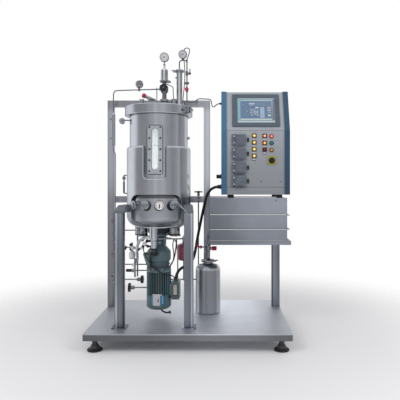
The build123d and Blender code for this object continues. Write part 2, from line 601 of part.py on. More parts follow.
def dial_thermometer():
    """Dial thermometer in the vessel's side: stem, case and rim."""
    z = PORT_Z
    start = around(THERMOMETER_AZIMUTH, VESSEL_R + 0.2, z)
    way = Vector(*around(THERMOMETER_AZIMUTH, 1, z)) - Vector(AXIS_X, AXIS_Y, z)
    outline = [(0, 0), (15, 0), (15, 9), (9, 11), (9, 17), (26, 20), (27, 22), (27, 33), (24.5, 33),
               (24.5, 31.5), (0, 31.5)]
    dial = turned(outline, start, way)
    return dial - on_axis(Pos(0, 0, 700) * Cylinder(VESSEL_R + 0.2, 120, align=BOTTOM))


def gauge(x, y, z, radius, stem, turn):
    """Pressure gauge: round case with a raised rim, and a stem with a hexagon under it."""
    case = turned([(0, 0), (radius - 2, 0), (radius, 2), (radius, 19), (radius - 3, 19),
                   (radius - 3, 17.5), (0, 17.5)])
    case = Rot(90, 0, 0) * case
    foot = Pos(0, 0, -radius - stem) * Cylinder(3.2, stem + 4, align=BOTTOM)
    nut = Pos(0, 0, -radius - stem) * extrude(RegularPolygon(7, 6), 6)
    return Pos(x, y, z) * Rot(0, 0, turn) * (Pos(0, 9, 0) * case + foot + nut)


def dial_gauges():
    """Three pressure gauges on the lid's lines, and the dial thermometer in the vessel's side."""
    return Compound(children=[gauge(*row) for row in GAUGES] + [dial_thermometer()])


def valve_bodies():
    """Valve bodies, necks and unions of the lid, the rear pipework and the canister."""
    x, y = COLUMN
    column = turned([(0, LID_RAISED), (13, LID_RAISED), (13, 1344), (17, 1346), (17, 1358), (13, 1360),
                     (13, 1408), (20, 1416), (23, 1424), (23, 1444), (20, 1452), (11, 1460), (11, 1472),
                     (22, 1474), (22, COLUMN_TOP), (0, COLUMN_TOP)], (x, y, 0))
    column += rod((x, y, WHEEL_Z), (x, y - 40, WHEEL_Z), 9)
    column += rod((x, y - 40, WHEEL_Z), (x, y - 56, WHEEL_Z), SPINDLE_R)
    column += rod((x, y, WHEEL_Z), (x - 30, y, WHEEL_Z), 8)
    rx, ry = RISER
    riser = rod((rx, ry, LID_TOP), (rx, ry, RISER_TOP), 3.6) + rod((rx, ry, LID_TOP), (rx, ry, LID_TOP + 16), 8)
    riser += rod((rx, ry, 1464), (rx, ry, 1474), 13)
    for z in (RED_RISER_Z, HANDLE_Z):
        riser += Pos(rx, ry, z) * Cylinder(7.5, 24)
    riser += rod((rx, ry, RED_RISER_Z), (rx, ry - 17, RED_RISER_Z), 6)
    riser += rod((rx, ry - 17, RED_RISER_Z), (rx, ry - 28, RED_RISER_Z), SPINDLE_R)
    riser += rod((rx, ry, HANDLE_Z), (rx + 12, ry, HANDLE_Z), 6)
    riser += rod((rx + 12, ry, HANDLE_Z), (rx + 24, ry, HANDLE_Z), SPINDLE_R)
    sx, sy = SLANT
    slant = turned([(0, LID_RAISED), (14, LID_RAISED), (14, 1345), (16, 1347), (16, 1359), (11, 1361),
                    (11, 1374), (0, 1374)], (sx, sy, 0))
    slant += rod(SLANT_START, SLANT_END, 9) + rod(SLANT_END, SLANT_TIP, SPINDLE_R)
    return Compound(children=[column, riser, slant, *rear_valves(), *canister_valves(), *star_valve()])


def wheel(radius, thick, start, way, grips):
    """A valve handwheel or knob with finger notches, bored to turn on its spindle."""
    body = turned([(SPINDLE_R + RUNNING_FIT, 0), (radius - 2, 0), (radius, 2), (radius, thick - 2),
                   (radius - 2, thick), (SPINDLE_R + RUNNING_FIT, thick)])
    notch = radius * 0.24
    for i in range(grips):
        spot = Rot(0, 0, 360 / grips * i) * Pos(radius + notch * 0.45, 0, thick / 2)
        body -= spot * Cylinder(notch, thick + 2)
    return Plane(origin=start, z_dir=way) * body


def lid_handwheel():
    """Dark five-lobed handwheel on the front of the lid's middle valve."""
    x, y = COLUMN
    return wheel(22.5, 13, (x, y - 41, WHEEL_Z), (0, -1, 0), 5)


def red_knob_lid():
    """Red knob at the end of the slanting valve."""
    way = Vector(*SLANT_TIP) - Vector(*SLANT_END)
    start = Vector(*SLANT_END) + way.normalized()
    return wheel(13.5, 18, tuple(start), way, 6)


def red_knob_riser():
    """Red knob on the front of the riser's valve."""
    rx, ry = RISER
    return wheel(12, 10, (rx, ry - 17.8, RED_RISER_Z), (0, -1, 0), 6)


def riser_handle():
    """Dark paddle handle at the top of the riser: it turns on a spindle that points right."""
    rx, ry = RISER
    hub = wheel(8, 9, (rx + 13, ry, HANDLE_Z), (1, 0, 0), 0)
    paddle = block(rx + 15, rx + 20, ry - 5, ry + 5, HANDLE_Z + 5, HANDLE_Z + 27)
    return hub + paddle


def exhaust_condenser():
    """Exhaust condenser: a tall jacketed tube on the lid with a rim at its top."""
    x, y = CONDENSER
    outline = [(0, LID_RAISED), (18, LID_RAISED), (18, LID_RAISED + 6), (17, LID_RAISED + 8), (17, 1526),
               (22, 1530), (22, 1546), (6, 1549), (6, 1556), (0, 1556)]
    tube = turned(outline, (x, y, 0))
    return tube + rod((x, y, 1500), (x - 24, y - 4, 1500), 5) + rod((x, y, 1350), (x + 24, y + 6, 1350), 5)


def gas_filters():
    """Filter cartridges: one on the middle column, one in the inlet line by the left rear post."""
    x, y = COLUMN
    z = COLUMN_TOP
    top = turned([(0, z), (22, z), (22, z + 5), (21, z + 8), (21, z + 62), (16, z + 70), (7, z + 74),
                  (5, z + 92), (0, z + 92)], (x, y, 0))
    fx, fy = INLET
    inlet = turned([(0, 1108), (5, 1108), (6, 1116), (12.5, 1120), (12.5, 1312), (9, 1320), (5, 1323),
                    (5, 1330), (0, 1330)], (fx, fy, 0))
    return Compound(children=[top, inlet])


def process_pipes():
    """Small steel lines of the lid: the air line from the inlet filter, and three short links."""
    fx, fy = INLET
    cx, cy = COLUMN
    air = bent_tube([(fx, fy, 1330), (fx, fy, AIR_LINE_Z), (cx - 30, cy, WHEEL_Z)], [26], 3.6)
    gx, gy, gz, radius, stem, _ = GAUGES[1]
    tee_z = gz - radius - stem
    air += rod((gx, gy, tee_z - 12), (gx, gy, tee_z), 6)
    down = bent_tube([(fx, fy, 1108), (fx, fy, 1085), (fx + 12, fy, 1070), (fx + 12, fy, 720),
                      (HEADER_A, PIPE_Y, 704), (HEADER_A, PIPE_Y, 690)], [12, 12, 8, 8], 3.0)
    link = bent_tube([(cx + 11, cy, 1465), (cx + 50, cy - 1, 1448), (cx + 56, cy - 5, LID_TOP + 26)], [12], 2.6)
    px, py = CONDENSER
    rx, ry = RISER
    bridge = bent_tube([(px, py, 1556), (px, py, 1602), (rx, ry, 1602), (rx, ry, RISER_TOP)], [14, 12], 3.6)
    bridge += rod((rx, ry, 1590), (rx, ry, 1608), 5)
    probe = rod((-218, 0, LID_RAISED), (-218, 0, 1452), 2.6)
    filter_wall = rod((fx, fy, 1100), (fx, fy, 1330), 12.6)
    clips = [block(fx - 20, fx + 4, fy, FRAME_Y, z, z + 10) - filter_wall for z in (1160, 1280)]
    return Compound(children=[air, down, link, bridge, probe, *clips])


# ---------------------------------------------------------------- rear pipework and canister
def along_x(x0, x1, z, radius):
    """A bar that runs to the right in the plane of the rear pipework."""
    return rod((x0, PIPE_Y, z), (x1, PIPE_Y, z), radius)


def utility_pipes():
    """Welded steam, water and air lines in front of the rear frame, with their stand-offs, the
    branches to the harvest valve and a level tube on the left of the jacket."""
    pipes = rod((HEADER_A, PIPE_Y, 240), (HEADER_A, PIPE_Y, 690), 6)
    for z in (262.0, 312.0, 402.0, 452.0, 512.0, 562.0, 622.0, 672.0):
        pipes += hex_bar((HEADER_A, PIPE_Y, z), (HEADER_A, PIPE_Y, z + 13), 19)
    for z in (290.0, 430.0, 645.0):
        pipes += block(HEADER_A - 20, HEADER_A + 4, PIPE_Y, FRAME_Y, z - 6, z + 6)
    pipes += rod((HEADER_B, PIPE_Y, 300), (HEADER_B, PIPE_Y, 640), 5)
    pipes += hex_bar((HEADER_B, PIPE_Y, 636), (HEADER_B, PIPE_Y, 650), 15)
    x, y = HARVEST
    pipes += bent_tube([(HEADER_B, PIPE_Y, 500), (HEADER_B + 8, PIPE_Y - 40, 528), (-300, 5, 553),
                        (x - 66, y + 12, 556), (x - 45, y, 582), (x - 25.8, y, 582)], [20, 60, 15, 11], 5)
    pipes += bent_tube([(HEADER_C, PIPE_Y, 222), (HEADER_C, PIPE_Y, 540), (STUBS[2][0], STUBS[2][1], 540),
                        (STUBS[2][0], STUBS[2][1], STUB_CAP_Z)], [40, 20], 6)
    for x0, x1, z, radius in PIPE_RUNS:
        pipes += along_x(x0, x1, z, radius)
    x, y = EXPANSION
    pipes += bent_tube([(x, y, 405), (x, y, 281), (x, PIPE_Y, 281)], [24], 4)
    feed = bent_tube([(HARVEST[0] + 25.8, HARVEST[1], FEED_Z), (x + 9, HARVEST[1], FEED_Z),
                      (x + 9, y - 20, FEED_Z), (x, y, FEED_Z - 12), (x, y, 526.2)], [22, 10, 8], 4)
    feed += hex_bar((HARVEST[0] + 29, HARVEST[1], FEED_Z), (HARVEST[0] + 40, HARVEST[1], FEED_Z), 14)
    feed += hex_bar((x, y, 529), (x, y, 539), 17)
    x, y = T_PIPE
    pipes += bent_tube([(x, y, T_VALVE_Z), (x, y, 281), (x, PIPE_Y, 281)], [14], 4)
    pipes += block(x - 8, x + 8, y - 6, FRAME_Y, 774, 788)
    jacket_tube = bent_tube([(AXIS_X - 184, AXIS_Y, 930), (JACKET_TUBE_X, AXIS_Y, 930),
                             (JACKET_TUBE_X, AXIS_Y, 824), (AXIS_X - 184, AXIS_Y, 824)], [6, 6], 4)
    jacket_tube += rod((JACKET_TUBE_X, AXIS_Y, 828), (JACKET_TUBE_X, AXIS_Y, 892), 6)
    jacket_tube += hex_bar((JACKET_TUBE_X, AXIS_Y, 905), (JACKET_TUBE_X, AXIS_Y, 922), 17)
    jacket_tube -= on_axis(Pos(0, 0, 800) * Cylinder(JACKET_R + 0.2, 160, align=BOTTOM))
    return Compound(children=[pipes, feed, jacket_tube])


def rear_valves():
    """Bodies and spindles of the valves in the rear pipework, and caps on the stub outlets."""
    bodies = []
    for x, z, way, _, thick in REAR_VALVES:
        body = along_x(x, x - 24 * way, z, 10) + along_x(x - 7 * way, x - 17 * way, z, 12.5)
        bodies.append(body + along_x(x, x + (thick + 3) * way, z, SPINDLE_R))
    bodies.append(along_x(-452, -428, 482, 9) + rod((-440, PIPE_Y, 482), (-440, PIPE_Y - 30, 482), 7))
    for x, y in STUBS:
        bodies.append(turned([(0, STUB_CAP_Z), (26, STUB_CAP_Z), (26, 583), (0, 583)], (x, y, 0)))
    x, y = T_PIPE
    bodies.append(turned([(0, T_VALVE_Z), (9, T_VALVE_Z), (9, T_VALVE_Z + 15), (SPINDLE_R, T_VALVE_Z + 15),
                          (SPINDLE_R, T_VALVE_Z + 30), (0, T_VALVE_Z + 30)], (x, y, 0)))
    return bodies


def rear_knob(index):
    """Handwheel or barrel knob of one valve in the rear pipework."""
    x, z, way, radius, thick = REAR_VALVES[index]
    return wheel(radius, thick, (x + 1 * way, PIPE_Y, z), (way, 0, 0), 8)


def t_handle():
    """Crossbar handle on top of the tall drain line."""
    x, y = T_PIPE
    hub = wheel(8, 14, (x, y, T_VALVE_Z + 16), (0, 0, 1), 0)
    bar = rod((x - 25, y, T_VALVE_Z + 24), (x + 25, y, T_VALVE_Z + 24), 4)
    return hub + (bar - rod((x, y, T_VALVE_Z + 10), (x, y, T_VALVE_Z + 34), SPINDLE_R + RUNNING_FIT))


def star_valve():
    """Small sampling valve on the left of the vessel, with the spindle of its star knob."""
    x, y, z = STAR
    body = rod((AXIS_X - VESSEL_R, y, z + 6), (x, y, z + 6), 4)
    body += rod((x, y, z - 16), (x, y, z + 14), 8) + rod((x, y, z), (x, y - 14, z), 6)
    return [body + rod((x, y - 14, z), (x, y - 28, z), SPINDLE_R)]


def star_knob():
    """Dark five-pointed knob of the sampling valve."""
    x, y, z = STAR
    return wheel(18, 10, (x, y - 15, z), (0, -1, 0), 5)


def expansion_vessel():
    """Red expansion vessel with domed ends and a neck."""
    x, y = EXPANSION
    return turned([(0, 405), (20, 407), (34, 414), (38, 424), (38, 496), (34, 506), (20, 513), (8, 515),
                   (8, 526), (0, 526)], (x, y, 0))


def canister():
    """Sealed steel harvest canister with a rounded base and shoulder and a clamped neck."""
    base, foot = DECK_Z, 7.0
    bottom = Polyline((0, base), (CAN_R - foot, base))
    heel = RadiusArc((CAN_R - foot, base), (CAN_R, base + foot), -foot)
    side = Line((CAN_R, base + foot), (CAN_R, CAN_SHOULDER_Z - 8))
    turn = RadiusArc((CAN_R, CAN_SHOULDER_Z - 8), (52, CAN_SHOULDER_Z + 16), -26)
    top = Polyline((52, CAN_SHOULDER_Z + 16), (30, CAN_NECK_Z - 9), (28, CAN_NECK_Z), (36, CAN_NECK_Z),
                   (36, CAN_NECK_Z + 6), (0, CAN_NECK_Z + 6), (0, base))
    profile = make_face(Plane.XZ * (bottom + heel + side + turn + top))
    hollow = turned([(0, base + SHEET), (CAN_R - foot, base + SHEET), (CAN_R - SHEET, base + foot + SHEET),
                     (CAN_R - SHEET, CAN_SHOULDER_Z - 8), (50, CAN_SHOULDER_Z + 12), (26, CAN_NECK_Z - 12),
                     (24, CAN_NECK_Z), (24, CAN_NECK_Z + 6), (0, CAN_NECK_Z + 6)])
    return Pos(CAN_X, CAN_Y, 0) * (revolve(profile, Axis.Z) - hollow)


def canister_valves():
    """Column on the canister: its cap, a cross-shaped body, and the stems of the lever and knob."""
    z0 = CAN_NECK_Z + 6
    column = turned([(0, z0), (36, z0), (36, z0 + 6), (14, z0 + 12), (11, z0 + 20), (11, 470), (17, 474),
                     (17, 504), (9, 512), (9, 562), (0, 562)], (CAN_X, CAN_Y, 0))
    column += rod((CAN_X, CAN_Y, KNOB_Z), (CAN_X + 22, CAN_Y, KNOB_Z), 8)
    column += rod((CAN_X + 22, CAN_Y, KNOB_Z), (CAN_X + 50, CAN_Y, KNOB_Z), SPINDLE_R)
    column += rod((CAN_X, CAN_Y, LEVER_Z), (LEVER_X, CAN_Y, LEVER_Z), 5)
    column += rod((LEVER_X, CAN_Y + 9, LEVER_Z), (LEVER_X, CAN_Y - 10, LEVER_Z), 9)
    column += rod((LEVER_X, CAN_Y - 10, LEVER_Z), (LEVER_X, CAN_Y - 20, LEVER_Z), SPINDLE_R)
    return [column]


def canister_knob():
    """Red barrel knob on the right of the canister's column."""
    return wheel(13, 30, (CAN_X + 23, CAN_Y, KNOB_Z), (1, 0, 0), 6)


def canister_lever():
    """Red lever of the ball valve on the left of the canister's column."""
    start = (LEVER_X, CAN_Y - 11, LEVER_Z)
    hub = wheel(8, 7, start, (0, -1, 0), 0)
    arm = Rot(0, 20, 0) * block(-37, -6, -6, -2, -5, 5)
    return hub + Pos(*start) * arm


# ---------------------------------------------------------------- control cabinet
def side_outline(front, lean_front, top, back, low):
    """Side view of the cabinet: an upright lower front and a leaning upper front."""
    return make_face(Plane.YZ * Polyline((front, low), (front, LEAN_Z), (lean_front, top), (back, top),
                                         (back, low), close=True))


def cabinet_shell():
    """Steel cabinet between the cheeks, hollow, with holes for its buttons and switches."""
    x0, x1 = CAB_X0 + CHEEK_T, CAB_X1 - CHEEK_T
    top, t = CAB_Z1 - 3, PANEL_T
    outer = side_outline(PANEL_Y, PANEL_Y + LEAN_BACK, top, CAB_Y1 - 4, CAB_Z0)
    inner = side_outline(PANEL_Y + t, PANEL_Y + LEAN_BACK + t, top - t, CAB_Y1 - 4 - t, CAB_Z0 + t)
    shell = Pos(x0, 0, 0) * extrude(outer, x1 - x0, dir=TO_RIGHT)
    shell -= Pos(x0 + t, 0, 0) * extrude(inner, x1 - x0 - 2 * t, dir=TO_RIGHT)
    holes = [rod((BUTTON_X, PANEL_Y - 9, z), (BUTTON_X, PANEL_Y + 9, z), BUTTON_R + 0.3) for z in BUTTON_ZS]
    holes += [Pos(ROCKER_X, PANEL_Y, z) * Box(ROCKER_HOLE_W, 20, ROCKER_HOLE_H) for z in PUMP_ZS]
    holes.append(rod((SWITCH_X, PANEL_Y - 9, SWITCH_Z), (SWITCH_X, PANEL_Y + 9, SWITCH_Z), 6))
    return shell - holes


def cabinet_cheeks():
    """Two thick side cheeks, hollow sheet pans that stand a little proud of the steel cabinet."""
    outline = side_outline(CAB_Y0, CAB_Y0 + LEAN_BACK, CAB_Z1, CAB_Y1, CAB_Z0)
    cheek = extrude(outline, CHEEK_T, dir=TO_RIGHT)
    cheek = chamfer(cheek.edges().filter_by(Axis.X).group_by(Axis.Y)[0], 3.0)
    pocket = extrude(offset(outline, -2 * SHEET, kind=Kind.INTERSECTION), CHEEK_T - SHEET, dir=TO_RIGHT)
    left = Pos(CAB_X0, 0, 0) * (cheek - Pos(SHEET, 0, 0) * pocket)
    right = Pos(CAB_X1 - CHEEK_T, 0, 0) * (cheek - pocket)
    return Compound(children=[left, right])


def cabinet_feet():
    """Four rubber feet between the cabinet and the shelf."""
    foot = turned([(0, SHELF_Z1), (18, SHELF_Z1), (16, CAB_Z0), (0, CAB_Z0)])
    spots = [(x, y) for x in (CAB_X0 + 55, CAB_X1 - 55) for y in (CAB_Y0 + 45, CAB_Y1 - 50)]
    return Compound(children=[Pos(x, y, 0) * foot for x, y in spots])


def touch_screen():
    """Touch panel on the leaning front: a bezel with a shallow pocket for the glass."""
    middle_y = PANEL_Y + LEAN_BACK / 2
    lean = atan2(LEAN_BACK, CAB_Z1 - LEAN_Z)
    z = (LEAN_Z + CAB_Z1) / 2
    face = Plane(origin=(SCREEN_X, middle_y, z), x_dir=(1, 0, 0), z_dir=(0, -cos(lean), sin(lean)))
    bezel = extrude(face * RectangleRounded(*BEZEL_SIZE, 6), 9)
    bezel = chamfer(bezel.faces().sort_by(Axis.Y)[0].outer_wire().edges(), 2.5)
    return bezel - extrude(face.offset(7.6) * Pos(2, 1) * Rectangle(*SCREEN_SIZE), 5)


def pump_modules():
    """Four plug-in pump heads: a square body, a raised cover with a round relief, two screws."""
    modules = []
    for z in PUMP_ZS:
        head = block(-PUMP_W / 2, PUMP_W / 2, -11, 0, -PUMP_H / 2, PUMP_H / 2)
        head = fillet(head.edges().filter_by(Axis.Y), 3.0)
        head += block(-22, PUMP_W / 2 - 3, -17, -11, 4 - PUMP_H / 2, PUMP_H / 2 - 4)
        head += rod((6, -17, 0), (6, -21, 0), 23) + rod((6, -21, 0), (6, -24, 0), 9)
        for side in (-1, 1):
            head += rod((-31, -11, 16 * side), (-31, -15, 16 * side), 4.2)
        modules.append(Pos(PUMP_X, PANEL_Y, z) * head)
    return Compound(children=modules)


def square_bezel(x, z, size, bore):
    """Square moulded bezel with a round opening."""
    plate = extrude(Plane.XZ * RectangleRounded(size, size, 3), BEZEL_T)
    return Pos(x, PANEL_Y, z) * (plate - extrude(Plane.XZ * Circle(bore), 20, both=True))


def panel_bezels():
    """Fixed surrounds on the panel: for buttons, lamps and rockers, and the main switch's plate."""
    bezels = [square_bezel(BUTTON_X, z, BUTTON_BEZEL, BUTTON_R + 0.3) for z in BUTTON_ZS]
    bezels += [square_bezel(RED_LAMP_X, z, BUTTON_BEZEL, LENS_R) for z in RED_LAMP_ZS]
    collar = turned([(LENS_R, 0), (12, 0), (12, 3), (10.5, BEZEL_T), (LENS_R, BEZEL_T)], way=(0, -1, 0))
    bezels += [Pos(LAMP_X, PANEL_Y, z) * collar for z in LAMP_ZS]
    frame = block(-6.5, 6.5, -2.5, 0, -12, 12) - Box(ROCKER_HOLE_W, 20, ROCKER_HOLE_H)
    bezels += [Pos(ROCKER_X, PANEL_Y, z) * frame for z in PUMP_ZS]
    plate = extrude(Plane.XZ * RectangleRounded(SWITCH_PLATE, SWITCH_PLATE, 3), SWITCH_PLATE_T)
    plate -= extrude(Plane.XZ * Circle(SPINDLE_R + RUNNING_FIT), 20, both=True)
    bezels.append(Pos(SWITCH_X, PANEL_Y, SWITCH_Z) * plate)
    return Compound(children=bezels)


def indicator_lamps():
    """Domed lenses of the indicator lamps."""
    lens = turned([(0, 0), (LENS_R, 0), (LENS_R, 6), (7, 8.5), (4, 10), (0, 10.5)], way=(0, -1, 0))
    spots = [(RED_LAMP_X, z) for z in RED_LAMP_ZS] + [(LAMP_X, z) for z in LAMP_ZS]
    return Compound(children=[Pos(x, PANEL_Y, z) * lens for x, z in spots])


def push_button(z):
    """Lit push button: a round cap that slides in its bezel."""
    cap = turned([(0, -9), (BUTTON_R, -9), (BUTTON_R, 8), (BUTTON_R - 1.5, 9.5), (0, 9.5)], way=(0, -1, 0))
    return Pos(BUTTON_X, PANEL_Y, z) * cap


def pump_switch(z):
    """Rocker switch beside a pump, resting with its lower end pressed."""
    outline = [(2.5, -8.6), (-2.8, -9.0), (-1.2, 0), (-2.8, 9.0), (2.5, 8.6), (5, 0)]
    face = make_face(Plane.YZ * Polyline(*outline, close=True))
    rocker = extrude(face, 4.8, both=True)
    return Pos(ROCKER_X, PANEL_Y, z) * Rot(ROCKER_REST, 0, 0) * rocker


def main_switch():
    """Rotary main switch: a knob with a grip bar on a spindle through its plate."""
    front = SWITCH_PLATE_T + 0.5
    knob = turned([(0, -8), (SPINDLE_R, -8), (SPINDLE_R, front), (17, front), (17, front + 5),
                   (15, front + 8), (0, front + 8)], way=(0, -1, 0))
    grip = block(-4.5, 4.5, -front - 18, -front - 6, -15, 15)
    return Pos(SWITCH_X, PANEL_Y, SWITCH_Z) * (knob + fillet(grip.edges().filter_by(Axis.Y), 3))


def cable_glands():
    """Screwed glands where the cords enter the cabinet and the lid."""
    glands = []
    for z, y, radius, length in CHEEK_GLANDS:
        gland = turned([(0, 0), (radius + 3, 0), (radius + 3, 5), (radius, 6), (radius, length - 4),
                        (radius - 2, length), (0, length)], (CAB_X0, y, z), (-1, 0, 0))
        glands.append(gland)
    for x, y in LID_GLANDS:
        glands.append(turned([(0, LID_TOP), (8, LID_TOP), (8, LID_TOP + 8), (5, LID_TOP + 10),
                              (5, LID_GLAND_TOP), (0, LID_GLAND_TOP)], (x, y, 0)))
    return Compound(children=glands)


# ---------------------------------------------------------------- cords
def corner_radii(points):
    """The largest gentle arc that fits at each corner of a cord's route."""
    radii = []
    for before, at, after in zip(points, points[1:], points[2:]):
        first, second = Vector(*at) - Vector(*before), Vector(*after) - Vector(*at)
        half_turn = radians(first.get_angle(second)) / 2
        radii.append(0.45 * min(first.length, second.length) / tan(half_turn))
    return radii


def cord(name, points, diameter):
    """A cord's tube along its route. Prints its smallest radius, its length and its fill."""
    radii = corner_radii(points)
    path = FilletPolyline(*points, radius=radii)
    tube = sweep(Plane(origin=path @ 0, z_dir=path % 0) * Circle(diameter / 2), path=path)
    fill = tube.volume / (pi * diameter ** 2 / 4 * path.length)
    print(name, "length", round(path.length, 1), "fill", round(fill, 4),
          "radii", [round(radius) for radius in radii])
    return tube


# ---------------------------------------------------------------- all pieces
def pieces():
    """Every piece of the skid by name."""
    parts = {
        "base_tray": base_tray(), "levelling_feet": levelling_feet(), "rear_frame": rear_frame(),
        "support_posts": support_posts(), "vessel_lugs": vessel_lugs(), "shelf_housing": shelf_housing(),
        "vessel_shell": vessel_shell(), "vessel_jacket": vessel_jacket(),
        "sight_glass_frame": sight_glass_frame(), "sight_glass_pane": sight_glass_pane(),
        "vessel_lid": vessel_lid(), "lid_gasket": lid_gasket(), "lid_clamp": lid_clamp(),
        "harvest_valve": harvest_valve(), "drive_lantern": drive_lantern(),
        "motor_housing": motor_housing(), "fan_cowl": fan_cowl(), "side_ports": side_ports(),
        "dial_gauges": dial_gauges(), "exhaust_condenser": exhaust_condenser(),
        "sanitary_clamps": sanitary_clamps(), "gas_filters": gas_filters(),
        "process_pipes": process_pipes(), "utility_pipes": utility_pipes(),
        "valve_bodies": valve_bodies(), "expansion_vessel": expansion_vessel(), "canister": canister(),
        "cabinet_shell": cabinet_shell(), "cabinet_cheeks": cabinet_cheeks(),
        "cabinet_feet": cabinet_feet(), "touch_screen": touch_screen(), "pump_modules": pump_modules(),
        "panel_bezels": panel_bezels(), "indicator_lamps": indicator_lamps(),
        "cable_glands": cable_glands(), "agitator": agitator(), "main_switch": main_switch(),
        "lid_handwheel": lid_handwheel(), "red_knob_lid": red_knob_lid(),
        "red_knob_riser": red_knob_riser(), "riser_handle": riser_handle(), "t_handle": t_handle(),
        "star_knob": star_knob(), "canister_knob": canister_knob(), "canister_lever": canister_lever(),
    }
    for i, z in enumerate(BUTTON_ZS):
        parts[f"push_button_{i + 1}"] = push_button(z)
    for i, z in enumerate(PUMP_ZS):
        parts[f"pump_switch_{i + 1}"] = pump_switch(z)
    for i in range(len(REAR_VALVES)):
        parts[f"rear_knob_{i + 1}"] = rear_knob(i)
    for name, points, diameter in CORDS:
        parts[name] = cord(name, points, diameter)
    return parts


os.makedirs("parts", exist_ok=True)
for node, shape in pieces().items():
    export_step(shape, f"parts/{node}.step")
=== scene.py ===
"""Looks of the pilot bioreactor skid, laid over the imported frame.

The frame holds every rigid piece at its real size. This add-on gives each one its finish, draws the
cords as smooth splines, and adds the small pieces that only show: dial faces, lit caps, screws, weld
beads, the picture on the touch panel and the plain labels. Metres, in the frame's own axes.
"""

import math

import bmesh
import bpy
import numpy as np
from bpy.props import FloatProperty, FloatVectorProperty, PointerProperty
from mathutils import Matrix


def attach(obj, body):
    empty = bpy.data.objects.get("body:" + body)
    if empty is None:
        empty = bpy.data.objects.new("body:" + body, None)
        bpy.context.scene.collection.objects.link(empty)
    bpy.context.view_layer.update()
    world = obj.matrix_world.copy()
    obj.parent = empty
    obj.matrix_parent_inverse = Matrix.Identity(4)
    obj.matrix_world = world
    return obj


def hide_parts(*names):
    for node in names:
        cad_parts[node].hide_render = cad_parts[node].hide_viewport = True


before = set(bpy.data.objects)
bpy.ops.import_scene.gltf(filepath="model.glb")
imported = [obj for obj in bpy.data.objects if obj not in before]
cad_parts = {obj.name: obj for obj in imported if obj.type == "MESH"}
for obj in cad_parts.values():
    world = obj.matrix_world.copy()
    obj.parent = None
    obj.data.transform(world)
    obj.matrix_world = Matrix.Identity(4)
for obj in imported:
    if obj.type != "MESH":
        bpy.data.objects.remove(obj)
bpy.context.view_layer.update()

bl_info = {
    "name": "Pilot Bioreactor Looks",
    "version": (1, 0, 0),
    "blender": (4, 5, 0),
    "location": "View3D > Sidebar > Bioreactor",
    "description": "Finishes, cords, dials, lamps and studio stage for the pilot bioreactor skid",
    "category": "Object",
}

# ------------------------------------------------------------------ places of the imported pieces
# The vessel's axis, the front of the cabinet's panel and the rows of what sits on it.
MM = 0.001
FRONT, RIGHT, UP, DOWN = (0.0, -1.0, 0.0), (1.0, 0.0, 0.0), (0.0, 0.0, 1.0), (0.0, 0.0, -1.0)
AXIS_X, AXIS_Y = -0.200, -0.0435
PANEL_FRONT = -0.1425
BUTTON_X, BUTTON_ZS = 0.351, (1.152, 1.114, 1.076, 1.038)
RED_LAMP_X, RED_LAMP_ZS = 0.410, (1.151, 1.111, 1.0735)
ROUND_LAMP_X, ROUND_LAMP_ZS = 0.449, (1.149, 1.111, 1.071)
PUMP_X, PUMP_ZS = 0.2642, (1.1275, 1.0496, 0.9708, 0.895)
SKID = "skid"
SHARP = math.radians(38)


def linear(red, green, blue):
    """Display values from 0 to 255 as a linear colour with alpha 1: (v / 255) to the power 2.2."""
    return tuple((v / 255.0) ** 2.2 for v in (red, green, blue)) + (1.0,)


def colour(name, text, *rgb):
    """A colour property, its default given as the 0 to 255 values that a display shows."""
    return FloatVectorProperty(name=name, description=text, subtype="COLOR", size=3, min=0.0, max=1.0,
                               default=linear(*rgb)[:3])


def radius_of(name, text, default, low, high):
    """A property that holds a small radius."""
    return FloatProperty(name=name, description=text, default=default, min=low, max=high, unit="LENGTH")


def power_of(name, text, default):
    """A property that holds a lamp's power."""
    return FloatProperty(name=name, description=text, default=default, min=0.0, unit="POWER")


class BioreactorFinish(bpy.types.PropertyGroup):
    """Colours of the skid's paints, plastics and metals."""

    steel: colour("Stainless steel", "Colour of the polished vessel, lid and lines", 203, 207, 213)
    satin: colour("Satin sheet", "Colour of the tray, frame, posts and shelf", 167, 173, 183)
    cabinet: colour("Cabinet paint", "Grey paint of the control cabinet", 156, 161, 168)
    cheek: colour("Cheek paint", "Blue paint of the cabinet's cheeks", 62, 104, 136)
    enamel: colour("Drive enamel", "Slate green enamel of the motor and the lantern", 80, 103, 109)
    crimson: colour("Crimson plastic", "Red knobs and levers", 176, 26, 62)
    red_tank: colour("Tank red", "Enamel of the expansion vessel", 168, 82, 106)
    amber: colour("Amber caps", "Lit caps of the push buttons", 214, 172, 38)
    switch_plate: colour("Switch plate", "Plate of the main switch", 152, 146, 58)


class BioreactorSizes(bpy.types.PropertyGroup):
    """Sizes of the small pieces that only show."""

    bolt: radius_of("Sight glass bolt", "Radius of a bolt head on the sight glass frame", 0.0042, 0.001, 0.01)
    bead: radius_of("Weld bead", "Radius of the ground weld beads on the jacket", 0.0016, 0.0005, 0.004)
    screw: radius_of("Panel screw", "Radius of the cabinet's and shelf's screw heads", 0.0034, 0.001, 0.01)


class BioreactorStage(bpy.types.PropertyGroup):
    """Floor, lamps and surroundings."""

    key_power: power_of("Key lamp", "Power of the large soft lamp on the left", 38.0)
    fill_power: power_of("Fill lamp", "Power of the soft lamp on the right", 26.0)
    surround: FloatProperty(name="Surround", description="Level of the even light from all round",
                            default=0.62, min=0.0, max=2.0, subtype="FACTOR")
    floor: colour("Floor", "Colour of the studio floor", 240, 240, 242)


# ------------------------------------------------------------------ surfaces as whole arrays
def basis(way):
    """Two unit vectors across a direction, so that side, up and the direction are right-handed."""
    along = np.asarray(way, float) / np.linalg.norm(way)
    guess = UP if abs(along[2]) < 0.9 else (0.0, 1.0, 0.0)
    side = np.cross(guess, along)
    side /= np.linalg.norm(side)
    return side, np.cross(along, side), along


